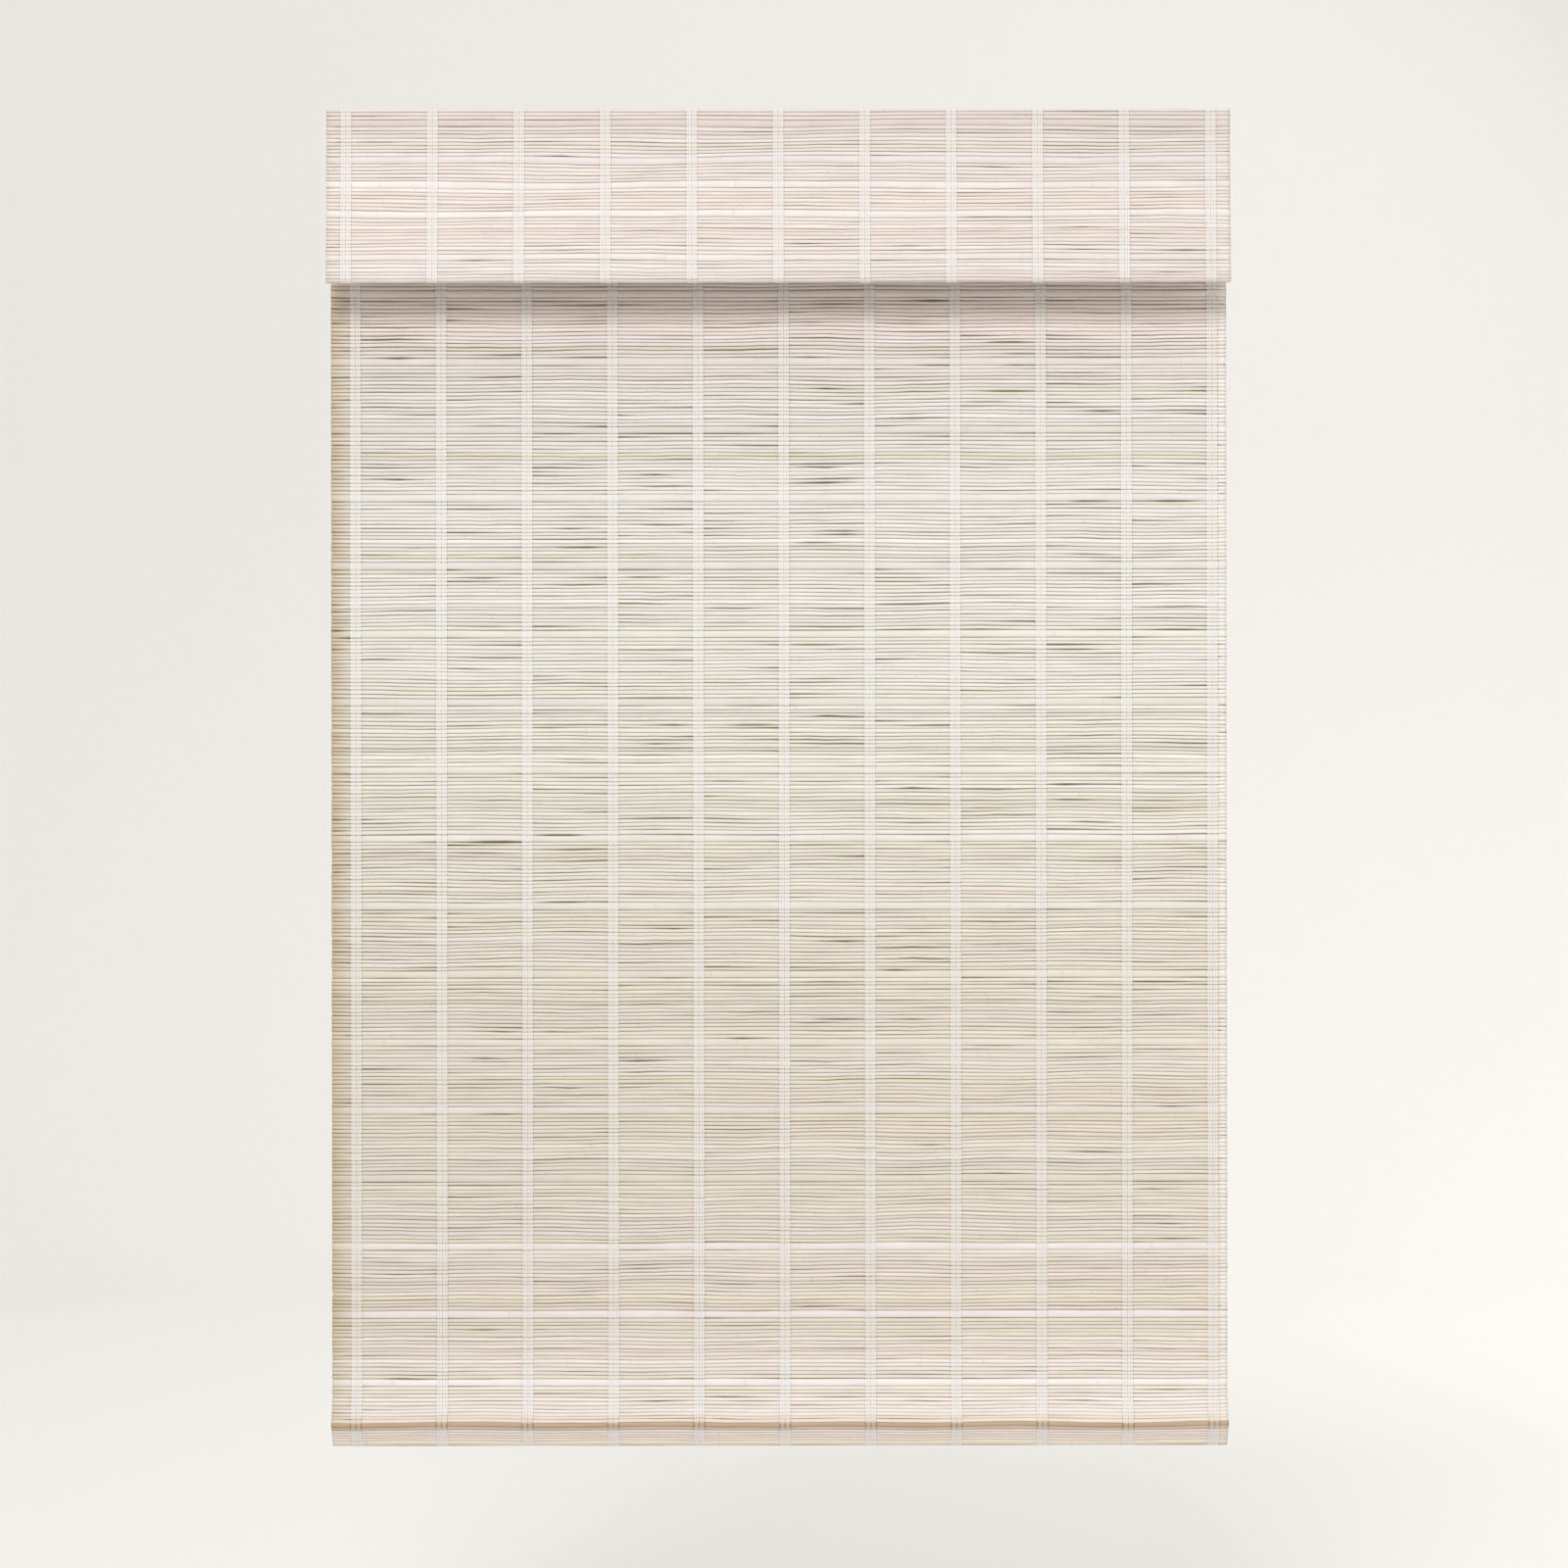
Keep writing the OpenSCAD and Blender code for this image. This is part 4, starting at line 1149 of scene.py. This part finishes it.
# studio: a pale sweep, even light all round, a soft lamp high in front and a weaker one behind
studio = {
    "floor": -1.45,
    "wall": 5.2,
    "curve": 1.6,
    "curveSteps": 24,
    "half": 10.0,
    "tall": 6.0,
    "ambient": {"Color": (1, 0.985, 0.96, 1), "Strength": 0.60},
    "backdrop": {"Color": (1, 1, 0.99, 1), "Strength": 0.86},
    "lamps": [  # name, place and watts
        ("keyLamp", (-0.9, -5.4, 3.2), 208.0),
        ("backLamp", (2.9, 3.6, 1.9), 75.0),
    ],
    "lampAim": (0.0, 0.0, -0.60),
    "lampSize": 2.2,
    "lampColor": (1.0, 0.975, 0.94),
}
palePaper = {
    "tones": (paint(226, 225, 222), paint(214, 213, 210)),
    "tooth": (40, 40, 40),
    "toothShows": 0.15,
    "rough": 0.9,
    "gloss": 0.1,
    "glowColor": (1.0, 1.0, 0.99, 1.0),
    "glow": 0.20,  # the sweep's own, for the camera alone
    "glowFrom": (-0.8, 0.8),  # y
    "fade": (5.8, 9.8),  # metres from the middle
    "frontFade": (-5.8, -4.0),  # y, for the camera alone
}


def seenDirectly(tree):
    # 1 for what the camera sees, also in a reflection or through something clear
    path = addNode(tree, "ShaderNodeLightPath")
    seen = maths(tree, "MAXIMUM", path.outputs["Is Camera Ray"], path.outputs["Is Glossy Ray"])
    return maths(tree, "MAXIMUM", seen, path.outputs["Is Transmission Ray"])


def makePaper():
    look = palePaper
    material, tree, shader = newMaterial("palePaper")
    place = objectPlace(tree)
    seen = seenDirectly(tree)
    tooth = ranged(tree, noise(tree, place, look["tooth"]), 0.0, look["toothShows"])
    depth = addNode(tree, "ShaderNodeSeparateXYZ", {"Vector": place}).outputs["Y"]
    glow = ranged(tree, depth, 0.0, look["glow"], *look["glowFrom"])
    wire(tree, shader, {
        "Base Color": mixed(tree, tooth, *look["tones"]),
        "Roughness": look["rough"],
        "Specular IOR Level": look["gloss"],
        "Emission Color": look["glowColor"],
        "Emission Strength": maths(tree, "MULTIPLY", seen, glow),
    })
    level = addNode(tree, "ShaderNodeMapping", {"Vector": place, "Scale": (1, 1, 0)}).outputs["Vector"]
    away = addNode(tree, "ShaderNodeVectorMath", {0: level}, operation="LENGTH").outputs["Value"]
    fade = ranged(tree, away, 0.0, 1.0, *look["fade"])
    inFront = maths(tree, "MULTIPLY", seen, ranged(tree, depth, 1.0, 0.0, *look["frontFade"]))
    fade = maths(tree, "MAXIMUM", fade, inFront)
    # from below, the paper doesn't hide the blind
    below = addNode(tree, "ShaderNodeNewGeometry").outputs["Backfacing"]
    fade = maths(tree, "MAXIMUM", fade, below)
    clear = addNode(tree, "ShaderNodeBsdfTransparent")
    both = addNode(tree, "ShaderNodeMixShader", {0: fade, 1: shader.outputs[0], 2: clear.outputs[0]})
    tree.links.new(both.outputs[0], tree.nodes["Material Output"].inputs["Surface"])
    return material


def makeSweep():
    half, floor, curve = studio["half"], studio["floor"], studio["curve"]
    profile = [(-half, floor)]
    for a in np.linspace(0, math.pi / 2, studio["curveSteps"] + 1):
        y = studio["wall"] - curve + curve * math.sin(a)
        profile.append((y, floor + curve * (1 - math.cos(a))))
    profile.append((studio["wall"], floor + studio["tall"]))
    points, faces = [], []
    for y, z in profile:
        points += [(-half, y, z), (half, y, z)]
    for k in range(len(profile) - 1):
        faces.append((2 * k, 2 * k + 1, 2 * k + 3, 2 * k + 2))
    mesh = bpy.data.meshes.new("sweep")
    mesh.from_pydata(points, [], faces)
    mesh.polygons.foreach_set("use_smooth", np.ones(len(faces), bool))
    sweep = addObject("sweep", mesh, makePaper())


def lightStudio():
    world = bpy.data.worlds.new("softRoom")
    bpy.context.scene.world = world
    world.use_nodes = True
    tree = world.node_tree
    tree.nodes.clear()
    room = addNode(tree, "ShaderNodeBackground", studio["ambient"])
    shown = addNode(tree, "ShaderNodeBackground", studio["backdrop"])
    inputs = {0: seenDirectly(tree), 1: room.outputs[0], 2: shown.outputs[0]}
    both = addNode(tree, "ShaderNodeMixShader", inputs)
    addNode(tree, "ShaderNodeOutputWorld", {"Surface": both.outputs[0]})


def hangLamp(name, place, power):
    lamp = bpy.data.lights.new(name, "AREA")
    lamp.shape = "DISK"
    lamp.size = studio["lampSize"]
    lamp.energy = power
    lamp.color = studio["lampColor"]
    thing = bpy.data.objects.new(name, lamp)
    thing.location = place
    aim = np.array(studio["lampAim"]) - np.array(place)
    yaw = math.atan2(aim[1], aim[0]) - math.pi / 2
    pitch = math.atan2(aim[2], math.hypot(aim[0], aim[1]))
    thing.rotation_euler = (math.pi / 2 + pitch, 0, yaw)
    thing.visible_camera = False
    bpy.context.scene.collection.objects.link(thing)


makeSweep()
lightStudio()
for lampName, lampPlace, lampPower in studio["lamps"]:
    hangLamp(lampName, lampPlace, lampPower)
print("studio lit")

bpy.context.view_layer.update()
